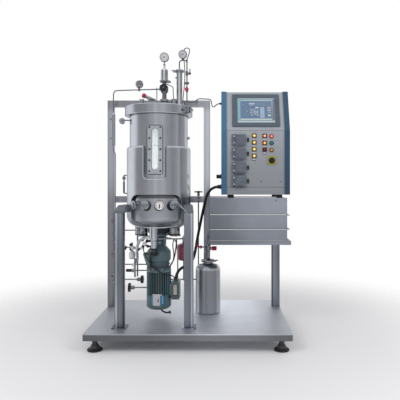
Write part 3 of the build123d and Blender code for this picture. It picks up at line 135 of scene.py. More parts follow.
def grid_faces(rows, columns, wrap_v=True, wrap_u=False):
    """Four-cornered faces of a grid of points, closed round its columns or its rows where asked."""
    r = np.arange(rows if wrap_u else rows - 1)
    c = np.arange(columns if wrap_v else columns - 1)
    r, c = np.meshgrid(r, c, indexing="ij")
    below, right = (r + 1) % rows, (c + 1) % columns
    quads = np.stack((r * columns + c, r * columns + right, below * columns + right, below * columns + c), -1)
    return quads.reshape(-1, 4)


def turned(profile, start, way, steps=24):
    """A turned surface: each (radius, height) of the profile goes round the axis, at
    start + radius (side cos t + up sin t) + way height, with t in equal steps. Profiles run from the
    foot to the tip, and both end on the axis or close on themselves outside it."""
    side, up, along = basis(way)
    profile = np.asarray(profile, float)
    t = np.linspace(0.0, 2.0 * np.pi, steps, endpoint=False)
    spoke = np.cos(t)[:, None] * side + np.sin(t)[:, None] * up
    points = (np.asarray(start, float) + profile[:, 0, None, None] * spoke[None]
              + profile[:, 1, None, None] * along)
    return points.reshape(-1, 3), grid_faces(len(profile), steps)


def plug(outline, start, way=FRONT, steps=24):
    """A solid turned piece: its outline from the axis at height 0 and back to the axis at its tip."""
    return turned([(0.0, 0.0), *outline, (0.0, outline[-1][1])], start, way, steps)


def collar(inner, outline, start, steps=36):
    """A turned ring round an upright bore: from the bore's foot along the outline and back."""
    return turned([(inner, 0.0), *outline, (inner, outline[-1][1]), (inner, 0.0)], start, UP, steps)


def tube_along(points, radius, steps=12):
    """A round bead along a path: at each point a circle in the plane across the path, its two axes
    found from one fixed direction. Ends close to their middle point."""
    points = np.asarray(points, float)
    way = np.gradient(points, axis=0)
    way /= np.linalg.norm(way, axis=1)[:, None]
    guess = (0.0, 1.0, 0.0) if np.abs(way[:, 1]).max() < 0.95 else RIGHT
    side = np.cross(guess, way)
    side /= np.linalg.norm(side, axis=1)[:, None]
    up = np.cross(way, side)
    t = np.linspace(0.0, 2.0 * np.pi, steps, endpoint=False)
    rings = points[:, None] + radius * (np.cos(t)[None, :, None] * side[:, None]
                                        + np.sin(t)[None, :, None] * up[:, None])
    first, last = np.repeat(points[:1, None], steps, 1), np.repeat(points[-1:, None], steps, 1)
    rings = np.concatenate((first, rings, last))
    return rings.reshape(-1, 3), grid_faces(len(rings), steps)


def pipe(radius, route):
    """A thin bent pipe: a bead along a route in millimetres whose corners are eased, each inner point
    taking half of itself and a quarter of each neighbour ten times over."""
    route = np.asarray(route, float) * MM
    share = np.linspace(0.0, len(route) - 1.0, 6 * len(route) + 1)
    path = np.stack([np.interp(share, np.arange(len(route)), route[:, k]) for k in range(3)], 1)
    for _ in range(10):
        path[1:-1] = path[:-2] * 0.25 + path[1:-1] * 0.5 + path[2:] * 0.25
    return tube_along(path, radius, 14)


def plate(centre, side, up, width, height, thick):
    """A thin flat plate: the eight corners centre plus or minus half the width along side and half
    the height along up, and thick in front along side x up, with its six faces."""
    corners = np.array([(u, v, w) for w in (0.0, thick) for u, v in ((-1, -1), (1, -1), (1, 1), (-1, 1))])
    scaled = np.array((side, up, np.cross(side, up))) * np.array((width / 2, height / 2, 1.0))[:, None]
    faces = np.array([(3, 2, 1, 0), (4, 5, 6, 7), (0, 1, 5, 4), (1, 2, 6, 5), (2, 3, 7, 6), (3, 0, 4, 7)])
    return np.asarray(centre, float) + corners @ scaled, faces


def round_axis(degrees, radius, z):
    """Points round the vessel's axis: (axis x + r sin a, axis y - r cos a, z), a from the front."""
    a = np.radians(degrees)
    return np.stack(np.broadcast_arrays(AXIS_X + radius * np.sin(a), AXIS_Y - radius * np.cos(a), z), -1)


def outward(degrees):
    """The level direction that far round from the front."""
    a = math.radians(degrees)
    return np.array((math.sin(a), -math.cos(a), 0.0))


def curved_plate(radius, azimuths, heights, thick, columns=18):
    """A plate bent round the vessel's axis: the angle from the front runs between the azimuths and
    z between the heights, for the radius and the radius plus the thickness."""
    low, high = heights
    corners = ((radius, low), (radius + thick, low), (radius + thick, high), (radius, high))
    points = np.stack([round_axis(np.linspace(*azimuths, columns), *corner) for corner in corners])
    faces = grid_faces(4, columns, wrap_v=False, wrap_u=True)
    caps = np.array([[0, 1, 2, 3], [3, 2, 1, 0]]) * columns + np.array([[0], [columns - 1]])
    return points.reshape(-1, 3), np.concatenate((faces[:, ::-1], caps[:, ::-1]))


def joined(shapes):
    """Several (points, faces) as one pair of arrays."""
    counts = np.cumsum([0] + [len(points) for points, _ in shapes[:-1]])
    return (np.concatenate([points for points, _ in shapes]),
            np.concatenate([faces + at for (_, faces), at in zip(shapes, counts)]))


def patches(centre, rows, up=UP):
    """Thin plates on one plane that runs along X, as (shape, colour) pairs. A row is (along X, along
    up, width, height, colour, thick, lift); the plate's middle is centre + u X + v up + lift (X x up).
    The colour is three display values or a linear colour of four numbers."""
    axes = np.array((RIGHT, up, np.cross(RIGHT, up)))

    def patch(u, v, width, height, tint, thick=0.0003, lift=0.0):
        """One row's plate and its colour as four numbers."""
        tint = linear(*tint) if len(tint) == 3 else tint
        middle = np.asarray(centre) + np.array((u, v, lift)) @ axes
        return plate(middle, RIGHT, up, width, height, thick), tint

    return [patch(*row) for row in rows]


def add_piece(name, shape, material, body=SKID, tints=None):
    """A mesh object from points and faces, riding on a body. Tints gives each vertex a colour, kept
    in the attribute tint."""
    points, faces = shape
    mesh = bpy.data.meshes.new(name)
    mesh.from_pydata(points.tolist(), [], faces.tolist())
    if tints is not None:
        layer = mesh.attributes.new("tint", "FLOAT_COLOR", "POINT")
        layer.data.foreach_set("color", np.asarray(tints, np.float32).ravel())
    mesh.validate()
    piece = bpy.data.objects.new(name, mesh)
    bpy.context.scene.collection.objects.link(piece)
    merge_poles(mesh)
    mesh.shade_smooth()
    mesh.set_sharp_from_angle(angle=SHARP)
    mesh.materials.append(material)
    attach(piece, body)
    return piece


def add_painted(name, pairs, material, body=SKID):
    """A mesh object from (shape, colour) pairs, the colour one for the whole shape or one a point."""
    tints = [np.broadcast_to(np.asarray(tint, float), (len(points), 4)) for (points, _), tint in pairs]
    return add_piece(name, joined([shape for shape, _ in pairs]), material, body, np.concatenate(tints))


def merge_poles(mesh):
    """Joins the points that meet on a turned piece's axis or at a bead's end, drops the faces that this
    leaves with no area, and points the others outwards."""
    work = bmesh.new()
    work.from_mesh(mesh)
    bmesh.ops.remove_doubles(work, verts=work.verts, dist=1e-7)
    bmesh.ops.dissolve_degenerate(work, edges=work.edges, dist=1e-8)
    bmesh.ops.recalc_face_normals(work, faces=work.faces)
    work.to_mesh(mesh)
    work.free()


# ------------------------------------------------------------------ materials
def rgba(values):
    """A colour of three or four numbers as four."""
    return tuple(values)[:3] + (1.0,)


def tone(base, factor):
    """A colour made lighter or darker by a factor, kept under 1."""
    return tuple(min(0.98, c * factor) for c in tuple(base)[:3]) + (1.0,)


def warmed(base):
    """A steel tone with a little more red and less blue."""
    red, green, blue = tuple(base)[:3]
    return (red * 1.04, green, blue * 0.94)


class Nodes:
    """The nodes of a material or world under way, cleared first."""

    def __init__(self, block):
        block.use_nodes = True
        self.block, self.tree = block, block.node_tree
        self.tree.nodes.clear()

    def put(self, socket, value):
        """Links a socket to an output, or sets its number or colour."""
        if isinstance(value, bpy.types.NodeSocket):
            self.tree.links.new(value, socket)
        else:
            socket.default_value = value

    def add(self, kind, *values, take=0, **named):
        """Adds a node with values for its first inputs in turn, and for settings and inputs by name,
        with lines for spaces. Gives back one of its outputs."""
        node = self.tree.nodes.new("ShaderNode" + kind)
        for key, value in named.items():
            if hasattr(node, key):
                setattr(node, key, value)
            else:
                self.put(node.inputs[key.replace("_", " ")], value)
        for socket, value in zip(node.inputs, values):
            self.put(socket, value)
        return node.outputs[take] if node.outputs else node

    def math(self, operation, *values):
        """A sum, product, angle or comparison of up to three values."""
        return self.add("Math", *values, operation=operation)

    def span(self, value, low, high, start=0.0, end=1.0, smooth=False):
        """Carries the part of a value between start and end over to low and high."""
        return self.add("MapRange", value, start, end, low, high,
                        interpolation_type="SMOOTHSTEP" if smooth else "LINEAR")

    def blend(self, factor, low, high, mode="MIX"):
        """A mix of two colours."""
        mix = self.add("Mix", factor, data_type="RGBA", blend_type=mode, take=2)
        self.put(mix.node.inputs[6], low)
        self.put(mix.node.inputs[7], high)
        return mix

    def times(self, tint, level):
        """A colour times a grey level."""
        return self.blend(1.0, tint, level, "MULTIPLY")

    def ramp(self, value, stops):
        """A colour ramp with rows of place and colour."""
        out = self.add("ValToRGB", value)
        marks = out.node.color_ramp.elements
        while len(marks) < len(stops):
            marks.new(0.5)
        for mark, (place, tint) in zip(marks, stops):
            mark.position, mark.color = place, tint
        return out


class Recipe(Nodes):
    """A material with a principled shader, and the steps that the finishes share."""

    def __init__(self, name):
        super().__init__(bpy.data.materials.new(name))
        self.shader = self.add("BsdfPrincipled").node
        self.out = self.add("OutputMaterial", self.shader.outputs["BSDF"])

    def done(self, **values):
        """Values and links for the shader's own sockets; gives back the material."""
        for key, value in values.items():
            self.put(self.shader.inputs[key.replace("_", " ")], value)
        return self.block

    def along(self, axis):
        """The place along one of the piece's own axes."""
        return self.add("SeparateXYZ", self.add("TexCoord", take="Object"), take=axis)

    def grain(self, scale, detail=3.0):
        """Noise on the piece's own coordinates, stretched by a scale along each axis."""
        scale = scale if isinstance(scale, tuple) else (scale,) * 3
        mapped = self.add("Mapping", self.add("TexCoord", take="Object"), Scale=scale)
        return self.add("TexNoise", mapped, Scale=1.0, Detail=detail, Roughness=0.55)

    def shades(self, pattern, low, high):
        """Blends between two colours over the part of a grey pattern's range that is used."""
        return self.blend(self.span(pattern, 0.0, 1.0, 0.3, 0.7), rgba(low), rgba(high))

    def clouded(self, pattern, base, spread):
        """A colour that wanders between two factors with a grey pattern."""
        return self.shades(pattern, tone(base, spread[0]), tone(base, spread[1]))

    def skin(self, pattern, strength, distance):
        """The normal of a surface with the pattern as its height."""
        return self.add("Bump", Height=pattern, Strength=strength, Distance=distance)

    def graded(self, tint, fades):
        """Slow changes of tone along the object's axes: the colour times a smooth step in each fade,
        given as axis, where it starts and ends, and the factors there. Axis R is the distance from
        the vessel's axis."""
        for axis, start, end, low, high in fades:
            if axis == "R":
                flat = self.add("Mapping", self.add("TexCoord", take="Object"), Scale=(1.0, 1.0, 0.0),
                                Location=(-AXIS_X, -AXIS_Y, 0.0))
                place = self.add("VectorMath", flat, operation="LENGTH", take="Value")
            else:
                place = self.along(axis)
            tint = self.times(tint, self.span(place, low, high, start, end, smooth=True))
        return tint

    def banded(self, tint, axis, stops):
        """Bands across an object's axis: the colour times a level that runs straight between the
        stops, given as place and level in turn."""
        most = max(level for _, level in stops)
        start, end = stops[0][0], stops[-1][0]
        ramp = self.ramp(self.span(self.along(axis), 0.0, 1.0, start, end),
                         [((at - start) / (end - start), rgba((level / most,) * 3)) for at, level in stops])
        return self.times(tint, self.span(ramp, 0.0, most))

    def facing(self, axis):
        """1 where the face looks along an axis, either way, and 0 elsewhere."""
        part = self.add("SeparateXYZ", self.add("NewGeometry", take="Normal"), take=axis)
        return self.math("GREATER_THAN", self.math("ABSOLUTE", part), 0.5)


def brushed(name, base, line, rough, bump, spread=(0.9, 1.06), anisotropic=0.0, fades=(), streaks=7.0,
            edge=0.8, faces=(), bands=None, dull=None):
    """Steel with fine brush lines: noise drawn out along the lines sets small steps of height and
    roughness, and a slow noise gives the cloudy tone of handled sheet. Streaks is the noise scale of
    the broad bands of drawn tube, and faces holds rows of an axis, the factor for faces that look
    another way and the factor for those that look along it, which paints light and shade by the way a
    face looks. Dull is a height, a lower one and the roughness that comes on top between them."""
    recipe = Recipe(name)
    lines, clouds = recipe.grain(line, 4.0), recipe.grain(streaks, 2.0)
    tint = recipe.graded(recipe.clouded(clouds, base, spread), fades)
    if bands:
        tint = recipe.banded(tint, *bands)
    for axis, other, along in faces:
        tint = recipe.times(tint, recipe.span(recipe.facing(axis), other, along))
    matt = recipe.span(recipe.math("ADD", lines, clouds), *rough, 0.6, 1.4)
    if dull:
        top, low, more = dull
        matt = recipe.math("ADD", matt, recipe.span(recipe.along("Z"), more, 0.0, low, top, smooth=True))
    if anisotropic:
        recipe.done(Anisotropic=anisotropic, Tangent=recipe.add("Tangent", direction_type="RADIAL", axis="Z"))
    return recipe.done(Base_Color=tint, Roughness=matt, Normal=recipe.skin(lines, bump, 0.0004), Metallic=1.0,
                       Specular_Tint=(edge, edge, edge, 1.0))


def painted(name, base, rough, peel, coat=0.0, size=700.0, spread=(0.96, 1.03), fades=()):
    """Sprayed paint or powder coat: the dimples of its skin as a fine bump, a slow change of tone and
    slightly duller patches."""
    recipe = Recipe(name)
    clouds = recipe.grain(5.0)
    return recipe.done(Base_Color=recipe.graded(recipe.clouded(clouds, base, spread), fades),
                       Roughness=recipe.span(clouds, rough - 0.05, rough + 0.07),
                       Normal=recipe.skin(recipe.grain(size, 1.0), peel, 0.0003),
                       Coat_Weight=coat, Coat_Roughness=0.12)


def moulded(name, base, rough, texture=0.18, bands=None):
    """Moulded plastic or rubber: a spark-eroded grain as a fine bump, with faint handling marks."""
    recipe = Recipe(name)
    marks = recipe.grain(24.0, 4.0)
    tint = recipe.clouded(marks, base, (0.9, 1.12))
    return recipe.done(Base_Color=recipe.banded(tint, *bands) if bands else tint,
                       Roughness=recipe.span(marks, rough - 0.08, rough + 0.08),
                       Normal=recipe.skin(recipe.grain(1600.0, 1.0), texture, 0.0002))


def two_toned(recipe, zone, pattern, low, high, other, matt, pits, strength, distance):
    """A dark moulding between two tones, with another colour in one zone of the piece."""
    return recipe.done(Base_Color=recipe.blend(zone, recipe.shades(pattern, low, high), other),
                       Roughness=matt, Normal=recipe.skin(recipe.grain(pits, 1.0), strength, distance))


def tinted(name, rough, glow=0.0, metallic=0.0):
    """Small plates and prints whose colour is each vertex's own, kept in the attribute tint."""
    recipe = Recipe(name)
    tint = recipe.add("Attribute", attribute_name="tint", take="Color")
    if glow:
        recipe.done(Emission_Color=tint, Emission_Strength=glow)
    return recipe.done(Base_Color=tint, Metallic=metallic,
                       Roughness=recipe.span(recipe.grain(900.0, 1.0), rough - 0.04, rough + 0.04))


def clear_glass(name):
    """Toughened glass of the sight window, slightly wavy."""
    recipe = Recipe(name)
    return recipe.done(Base_Color=(0.93, 0.97, 0.97, 1.0), Roughness=0.03, IOR=1.47, Transmission_Weight=0.75,
                       Normal=recipe.skin(recipe.grain((60.0, 60.0, 14.0), 2.0), 0.06, 0.0005))


def finish(names, material):
    """Gives CAD nodes, named with spaces between them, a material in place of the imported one."""
    for name in names.split():
        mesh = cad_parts[name].data
        mesh.materials.clear()
        mesh.materials.append(material)


# ------------------------------------------------------------------ stage
def make_camera(scene):
    """A level camera in front of the skid, its axis a little right of the middle and above it."""
    lens = bpy.data.cameras.new("front_camera")
    lens.lens, lens.sensor_width = 44.1, 36.0
    lens.shift_x, lens.shift_y = -0.0515, -0.0425
    camera = bpy.data.objects.new("front_camera", lens)
    camera.location, camera.rotation_euler = (0.161, -2.9135, 0.885), (math.pi / 2, 0.0, 0.0)
    scene.collection.objects.link(camera)
    scene.camera = camera


def make_floor(tint):
    """A pale floor that keeps the skid's shadow and fades into the white surroundings: its cover
    falls from whole to nothing between two distances from the middle."""
    recipe = Recipe("studio_floor")
    recipe.done(Base_Color=rgba(tint), Roughness=0.7)
    away = recipe.add("VectorMath", recipe.add("TexCoord", take="Object"), operation="LENGTH", take="Value")
    gone = recipe.span(away, 0.0, 1.0, 0.9, 2.2, smooth=True)
    cover = recipe.add("MixShader", gone, recipe.shader.outputs["BSDF"], recipe.add("BsdfTransparent"))
    recipe.put(recipe.out.inputs["Surface"], cover)
    mesh = bpy.data.meshes.new("studio_floor")
    mesh.from_pydata([(-4, -4, 0), (4, -4, 0), (4, 4, 0), (-4, 4, 0)], [], [(0, 1, 2, 3)])
    mesh.materials.append(recipe.block)
    floor = bpy.data.objects.new("studio_floor", mesh)
    bpy.context.scene.collection.objects.link(floor)


def soft_lamp(name, place, target, size, power):
    """A square soft lamp that looks at a point."""
    lamp = bpy.data.lights.new(name, "AREA")
    lamp.shape, lamp.size, lamp.energy = "SQUARE", size, power
    holder = bpy.data.objects.new(name, lamp)
    holder.location = place
    holder.visible_glossy = False
    x, y, z = np.asarray(target, float) - np.asarray(place, float)
    holder.rotation_euler = (math.atan2(math.hypot(x, y), -z), 0.0, math.atan2(y, x) - math.pi / 2)
    bpy.context.scene.collection.objects.link(holder)


# Levels of the room that steel shows, by the angle round the skid: 0 is behind the camera, 0.25 the
# right side and the two ends the white wall at the back.
ROOM = ((-0.50, 1.0), (-0.43, 0.72), (-0.40, 0.86), (-0.358, 1.0), (-0.305, 1.0), (-0.268, 0.95),
        (-0.240, 0.66), (-0.226, 0.36), (-0.155, 0.31), (-0.130, 0.36), (-0.104, 0.31), (-0.085, 0.45),
        (-0.035, 0.45), (-0.022, 0.67), (-0.006, 0.67), (0.006, 0.48), (0.035, 0.52), (0.055, 0.60),
        (0.078, 0.54), (0.095, 0.39), (0.130, 0.42), (0.148, 0.30), (0.180, 0.35), (0.212, 0.40),
        (0.226, 0.58), (0.238, 0.54), (0.255, 0.26), (0.290, 0.36), (0.350, 0.42), (0.385, 0.98),
        (0.50, 1.0))
WHITE = (1.0, 1.0, 1.0, 1.0)


def make_world(scene, level):
    """Even light for matt surfaces, plain white for the camera and through glass, and for steel a
    studio room: white behind the skid, greyer walls with darker door openings in front of it, and
    a white ceiling."""
    scene.world = bpy.data.worlds.new("studio")
    nodes = Nodes(scene.world)
    scene.world.cycles.sampling_method = "NONE"
    way = nodes.add("SeparateXYZ", nodes.add("TexCoord", take="Generated")).node.outputs
    turn = nodes.math("ARCTAN2", way["X"], nodes.math("MULTIPLY", way["Y"], -1.0))
    walls = nodes.ramp(nodes.math("MULTIPLY_ADD", turn, 0.5 / math.pi, 0.5),
                       [(place + 0.5, (grey, grey, grey * 1.03, 1.0)) for place, grey in ROOM])
    room = nodes.blend(nodes.span(way["Z"], 0.0, 1.0, 0.4, 0.75, smooth=True), walls, (0.95, 0.95, 0.97, 1.0))
    rays = nodes.add("LightPath").node.outputs
    seen = nodes.math("MAXIMUM", rays["Is Camera Ray"], rays["Is Transmission Ray"])
    plain = nodes.add("MixShader", seen, nodes.add("Background", WHITE, level),
                      nodes.add("Background", WHITE, 1.0))
    mirrored = nodes.add("Background", room)
    nodes.add("OutputWorld", nodes.add("MixShader", rays["Is Glossy Ray"], plain, mirrored))


class BIOREACTOR_OT_stage(bpy.types.Operator):
    """Camera, pale floor, two soft lamps and the room that the steel reflects"""

    bl_idname = "bioreactor.stage"
    bl_label = "Stage"

    def execute(self, context):
        scene, settings = context.scene, context.scene.bioreactor_stage
        make_camera(scene)
        make_floor(settings.floor)
        soft_lamp("key_lamp", (-1.9, -2.4, 2.6), (-0.1, 0.0, 0.8), 1.6, settings.key_power)
        soft_lamp("fill_lamp", (2.3, -2.0, 2.2), (0.2, 0.0, 0.8), 1.4, settings.fill_power)
        make_world(scene, settings.surround)
        scene.view_settings.view_transform = "Standard"
        return {"FINISHED"}


# ------------------------------------------------------------------ cords
# Each cord: its route in millimetres, its diameter and length in metres, and how stiff it is.
CORDS = {
    "motor_conduit": (
        [(140, 100, 862), (116, 100, 857), (92, 100, 837), (74, 99, 804), (61, 98, 752), (47, 96, 686),
         (32, 92, 614), (18, 87, 542), (8, 80, 478), (-2, 70, 430), (-24, 48, 400), (-53, 16, 387),
         (-80, -16, 376), (-96, -38, 354), (-101, -45, 328)], 0.017, 0.667, "stiff"),
    "signal_cable": (
        [(-53, 0, 1348), (-53, 2, 1364), (-50, 20, 1378), (-37, 50, 1377), (-20, 90, 1377),
         (-5, 128, 1387), (7, 158, 1402), (23, 184, 1418), (46, 205, 1420), (72, 208, 1420),
         (95, 197, 1417), (105, 171, 1394), (106, 142, 1368), (114, 119, 1354), (127, 101, 1358),
         (139, 93, 1368), (150, 90, 1371)], 0.006, 0.457, "medium"),
    "lid_cable": (
        [(-36, -45, 1608), (-30, -46, 1623), (-22, -47, 1645), (-20, -45, 1666), (-30, -40, 1677),
         (-46, -33, 1678), (-56, -26, 1667), (-58, -22, 1646), (-55, -18, 1610), (-51, -12, 1562),
         (-51, -4, 1510), (-56, 8, 1457), (-62, 20, 1408), (-66, 29, 1370), (-66, 30, 1348)],
        0.005, 0.433, "medium"),
    "drive_cable": (
        [(-253.7, -74.5, 550), (-267, -83, 547), (-278, -95, 531), (-282, -108, 503), (-270, -119, 472),
         (-248, -124, 441), (-225, -126, 412), (-201, -127, 389), (-176, -125, 371), (-150, -117, 361),
         (-127, -103, 356), (-112, -87, 348), (-106, -76, 336), (-105, -74, 323)], 0.006, 0.3518, "medium"),
}


class BIOREACTOR_OT_cords(bpy.types.Operator):
    """The drive's conduit and the three thin cables, as smooth splines of their real length"""

    bl_idname = "bioreactor.cords"
    bl_label = "Cords"

    def execute(self, context):
        sheath = moulded("cable_sheath", linear(34, 35, 38), 0.42, 0.1)
        for name, (route, diameter, length, stiffness) in CORDS.items():
            route = np.asarray(route, float) * MM
            curve = bpy.data.curves.new(name + "_line", "CURVE")
            curve.dimensions = "3D"
            spline = curve.splines.new("NURBS")
            spline.points.add(len(route) - 1)
            spline.points.foreach_set("co", np.column_stack((route, np.ones(len(route)))).ravel())
            spline.order_u = 3
            spline.use_endpoint_u = True
            curve.resolution_u = 10
            curve.bevel_depth = diameter / 2
            curve.bevel_resolution = 5
            curve.use_fill_caps = True
            curve.materials.append(sheath)
            line = bpy.data.objects.new(name + "_line", curve)
            context.scene.collection.objects.link(line)
            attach(line, SKID)
            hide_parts(name)
        return {"FINISHED"}


# ------------------------------------------------------------------ finishes of the imported pieces
# Light and dark bands, as place and level along one axis: painted highlights and painted shade on the
# posts, the column's pipes, the canister, the rear frame and the tray, and a painted shadow on the
# vessel's shell under the jacket's edge. The pump cases' left edge is a pale mounting flange.
POST_BANDS = ((-0.4135, 1.1), (-0.4095, 1.1), (-0.408, 2.4), (-0.399, 2.4), (-0.397, 1.0), (-0.378, 1.0),
              (-0.374, 0.7), (-0.366, 0.7), (-0.363, 1.0), (-0.038, 2.1), (-0.0335, 2.1), (-0.031, 1.0),
              (0.001, 1.0), (0.0035, 2.4), (0.0135, 2.4), (0.0160, 1.0), (0.485, 0.95), (0.492, 1.0),
              (0.497, 1.5), (0.505, 1.5), (0.511, 1.1), (0.529, 1.0), (0.535, 1.2))
COLUMN_BANDS = ((-0.1735, 1.0), (-0.1720, 2.1), (-0.1645, 2.1), (-0.1630, 1.0), (-0.0860, 1.0),
                (-0.0845, 1.7), (-0.0765, 1.7), (-0.0750, 1.0))
CANISTER_BANDS = ((0.008, 1.1), (0.014, 1.1), (0.020, 1.6), (0.024, 2.0), (0.028, 2.0), (0.034, 1.1),
                  (0.044, 1.1), (0.048, 1.2), (0.056, 1.25), (0.059, 1.0), (0.063, 1.35), (0.067, 1.35),
                  (0.070, 1.0), (0.092, 0.9), (0.112, 0.95), (0.116, 1.15), (0.120, 0.95), (0.134, 0.95),
                  (0.142, 1.8), (0.160, 2.0))
FRAME_BANDS = ((0.09, 0.62), (0.30, 0.62), (0.44, 0.76), (0.77, 0.96), (0.86, 1.3), (0.95, 1.5),
               (1.33, 1.55), (1.37, 1.05), (1.42, 1.05))
SHELL_BANDS = ((0.795, 1.0), (0.804, 0.3), (0.8215, 0.25), (0.8235, 1.0))
TRAY_BANDS = ((-0.556, 1.2), (-0.24, 1.33), (0.0, 1.72), (0.129, 2.0), (0.22, 1.98), (0.356, 1.8),
              (0.454, 1.4), (0.556, 1.34))
PUMP_BANDS = ((0.216, 1.9), (0.2272, 1.9), (0.2276, 0.5), (0.2312, 0.5), (0.2318, 1.0), (0.330, 1.0))
# Noise scales along the axes for brush lines round a turned piece, up a post and along a sheet.
TURNED, UPRIGHT, SHEET = (3.0, 3.0, 1500.0), (900.0, 900.0, 3.0), (3.0, 900.0, 900.0)


def steel_rows(steel, satin):
    """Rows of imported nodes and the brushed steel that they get: its name, colour, line scale,
    roughness, bump, spread of tone and further settings."""
    return (
        ("vessel_jacket", "jacket_steel", steel, TURNED, (0.16, 0.24), 0.04, (0.93, 1.03),
         dict(anisotropic=0.35, fades=(("Z", 0.66, 0.84, 0.72, 1.0),), dull=(0.78, 0.70, 0.28))),
        # vessel_steel: the band up Z is a painted shadow under the jacket's edge over the port recess.
        ("vessel_shell", "vessel_steel", steel, TURNED, (0.17, 0.26), 0.05, (0.92, 1.03),
         dict(anisotropic=0.3, fades=(("Z", 0.63, 0.70, 0.6, 1.0),), bands=("Z", SHELL_BANDS),
              dull=(0.80, 0.74, 0.30))),
        # canister_steel: painted highlights and shade in the bands along X, the bright shoulder ring and
        # darker top.
        ("canister", "canister_steel", tone(steel, 0.58), TURNED, (0.32, 0.44), 0.05, (0.9, 1.06),
         dict(streaks=(26.0, 26.0, 0.6), edge=0.5, bands=("X", CANISTER_BANDS), fades=(
             ("Z", 0.358, 0.366, 1.0, 2.1), ("Z", 0.376, 0.384, 1.0, 0.6), ("Z", 0.1, 0.26, 1.3, 1.0)))),
        ("vessel_lid lid_clamp", "lid_steel", steel, TURNED, (0.16, 0.24), 0.06, (0.9, 1.02),
         dict(edge=0.6)),
        # column_steel: the bright bands along X are painted highlights.
        ("exhaust_condenser gas_filters", "column_steel", tone(steel, 0.95), TURNED, (0.16, 0.26), 0.06,
         (0.9, 1.04), dict(edge=0.5, bands=("X", COLUMN_BANDS))),
        ("side_ports sanitary_clamps agitator", "turned_steel", tone(steel, 0.8), TURNED, (0.16, 0.26), 0.06,
         (0.86, 1.04), dict(edge=0.5)),
        ("harvest_valve", "harvest_steel", tone(steel, 1.25), TURNED, (0.16, 0.26), 0.06, (0.86, 1.04),
         dict(edge=0.5)),
        ("process_pipes valve_bodies utility_pipes dial_gauges", "tube_steel", tone(steel, 0.5), 600.0,
         (0.16, 0.28), 0.03, (0.85, 1.1), dict(edge=0.4)),
        ("sight_glass_frame", "frame_plate_steel", steel, (900.0, 900.0, 6.0), (0.2, 0.3), 0.05,
         (0.94, 1.04), {}),
        # lug_steel: faces that look along X are made 2.2 times lighter: painted light on the sides.
        ("vessel_lugs", "lug_steel", tone(satin, 0.62), 300.0, (0.5, 0.62), 0.05, (0.9, 1.06),
         dict(faces=(("X", 1.0, 2.2),))),
        # post_steel: bands along X are painted highlights on the edges and painted shade; side faces darker,
        # painted shade.
        ("support_posts", "post_steel", tone(satin, 1.17), UPRIGHT, (0.24, 0.36), 0.08, (0.74, 1.22),
         dict(fades=(("Z", 0.4, 0.95, 0.5, 1.0),), streaks=(70.0, 70.0, 0.5), faces=(("X", 1.0, 0.55),),
              bands=("X", POST_BANDS))),
        # frame_steel: the fades along X, the bands up Z and the darker side faces are painted light and
        # shade.
        ("rear_frame", "frame_steel", warmed(tone(satin, 1.13)), UPRIGHT, (0.26, 0.38), 0.08, (0.86, 1.1),
         dict(fades=(("X", -0.3, 0.08, 0.9, 1.15), ("X", 0.3, 0.4, 1.0, 0.55)),
              streaks=(50.0, 50.0, 0.5), faces=(("X", 1.0, 0.7),), bands=("Z", FRAME_BANDS))),
        # shelf_steel: upward faces at 0.4, darker on the left and lower down: painted shade.
        ("shelf_housing", "shelf_steel", satin, SHEET, (0.28, 0.4), 0.08, (0.84, 0.96),
         dict(fades=(("X", 0.1, 0.4, 0.74, 1.3), ("Z", 0.55, 0.78, 0.85, 1.1)), faces=(("Z", 1.0, 0.4),))),
        # tray_steel: the apron a third as light as the deck's top, painted shade; the bands along X, painted
        # light.
        ("base_tray", "tray_steel", warmed(satin), (3.0, 700.0, 700.0), (0.44, 0.56), 0.1, (0.9, 1.02),
         dict(fades=(("Z", 0.0952, 0.0962, 1.0, 3.0),), faces=(("Z", 0.37, 0.36),), bands=("X", TRAY_BANDS))))


class BIOREACTOR_OT_steel(bpy.types.Operator):
    """Polished, turned and satin steel of the vessel, lid, lines, frame and tray"""

    bl_idname = "bioreactor.steel"
    bl_label = "Steel"

    def execute(self, context):
        look = context.scene.bioreactor_finish
        for nodes, *settings, more in steel_rows(look.steel, look.satin):
            finish(nodes, brushed(*settings, **more))
        for name in ("cabinet_cheeks", "cabinet_shell"):
            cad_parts[name].visible_glossy = False
        return {"FINISHED"}


def feet_material():
    """Black rubber pads below the hexagons of the levelling feet, and steel above them."""
    recipe = Recipe("levelling_foot")
    upper = recipe.span(recipe.along("Z"), 0.0, 1.0, 0.0165, 0.0172)
    return two_toned(recipe, upper, recipe.grain(60.0), linear(24, 25, 27), linear(38, 39, 42),
                     linear(66, 65, 66), recipe.span(upper, 0.6, 0.28), 1300.0, 0.15, 0.0003)


def bezel_material(switch_plate):
    """Near-black moulded bezels, and the yellow-green plate of the main switch, which is the part of
    the node right of and below a corner of the panel."""
    recipe = Recipe("panel_bezel")
    corner = recipe.math("MULTIPLY", recipe.math("GREATER_THAN", recipe.along("X"), 0.4255),
                         recipe.math("LESS_THAN", recipe.along("Z"), 1.0385))
    marks = recipe.grain(90.0)
    return two_toned(recipe, corner, marks, linear(30, 31, 34), linear(52, 54, 58), rgba(switch_plate),
                     recipe.span(marks, 0.34, 0.5), 1500.0, 0.12, 0.0002)


# Enamelled pieces of the drive: node, material, factor on the enamel's colour, roughness, coat, fades.
# The fades are painted light and shade.
ENAMELS = (
    ("fan_cowl", "fan_cowl_enamel", 1.08, 0.34, 0.25, ()),
    # The lantern darker towards its foot: painted shadow.
    ("drive_lantern", "drive_lantern_enamel", 1.3, 0.34, 0.25, (("Z", 0.395, 0.45, 0.45, 1.0),)),
    # Motor: darker grooves and right side are painted shade; lighter left flank and strip are painted
    # highlights.
    ("motor_housing", "fin_enamel", 1.1, 0.36, 0.2,
     (("R", 0.0605, 0.0695, 0.28, 1.0), ("X", -0.270, -0.235, 1.7, 1.0), ("X", -0.165, -0.140, 1.0, 1.5),
      ("X", -0.128, -0.126, 1.0, 0.42))))
PUMP_SWITCHES = " ".join("pump_switch_%d" % i for i in range(1, 5))
BUTTONS = " ".join("push_button_%d" % i for i in range(1, 5))
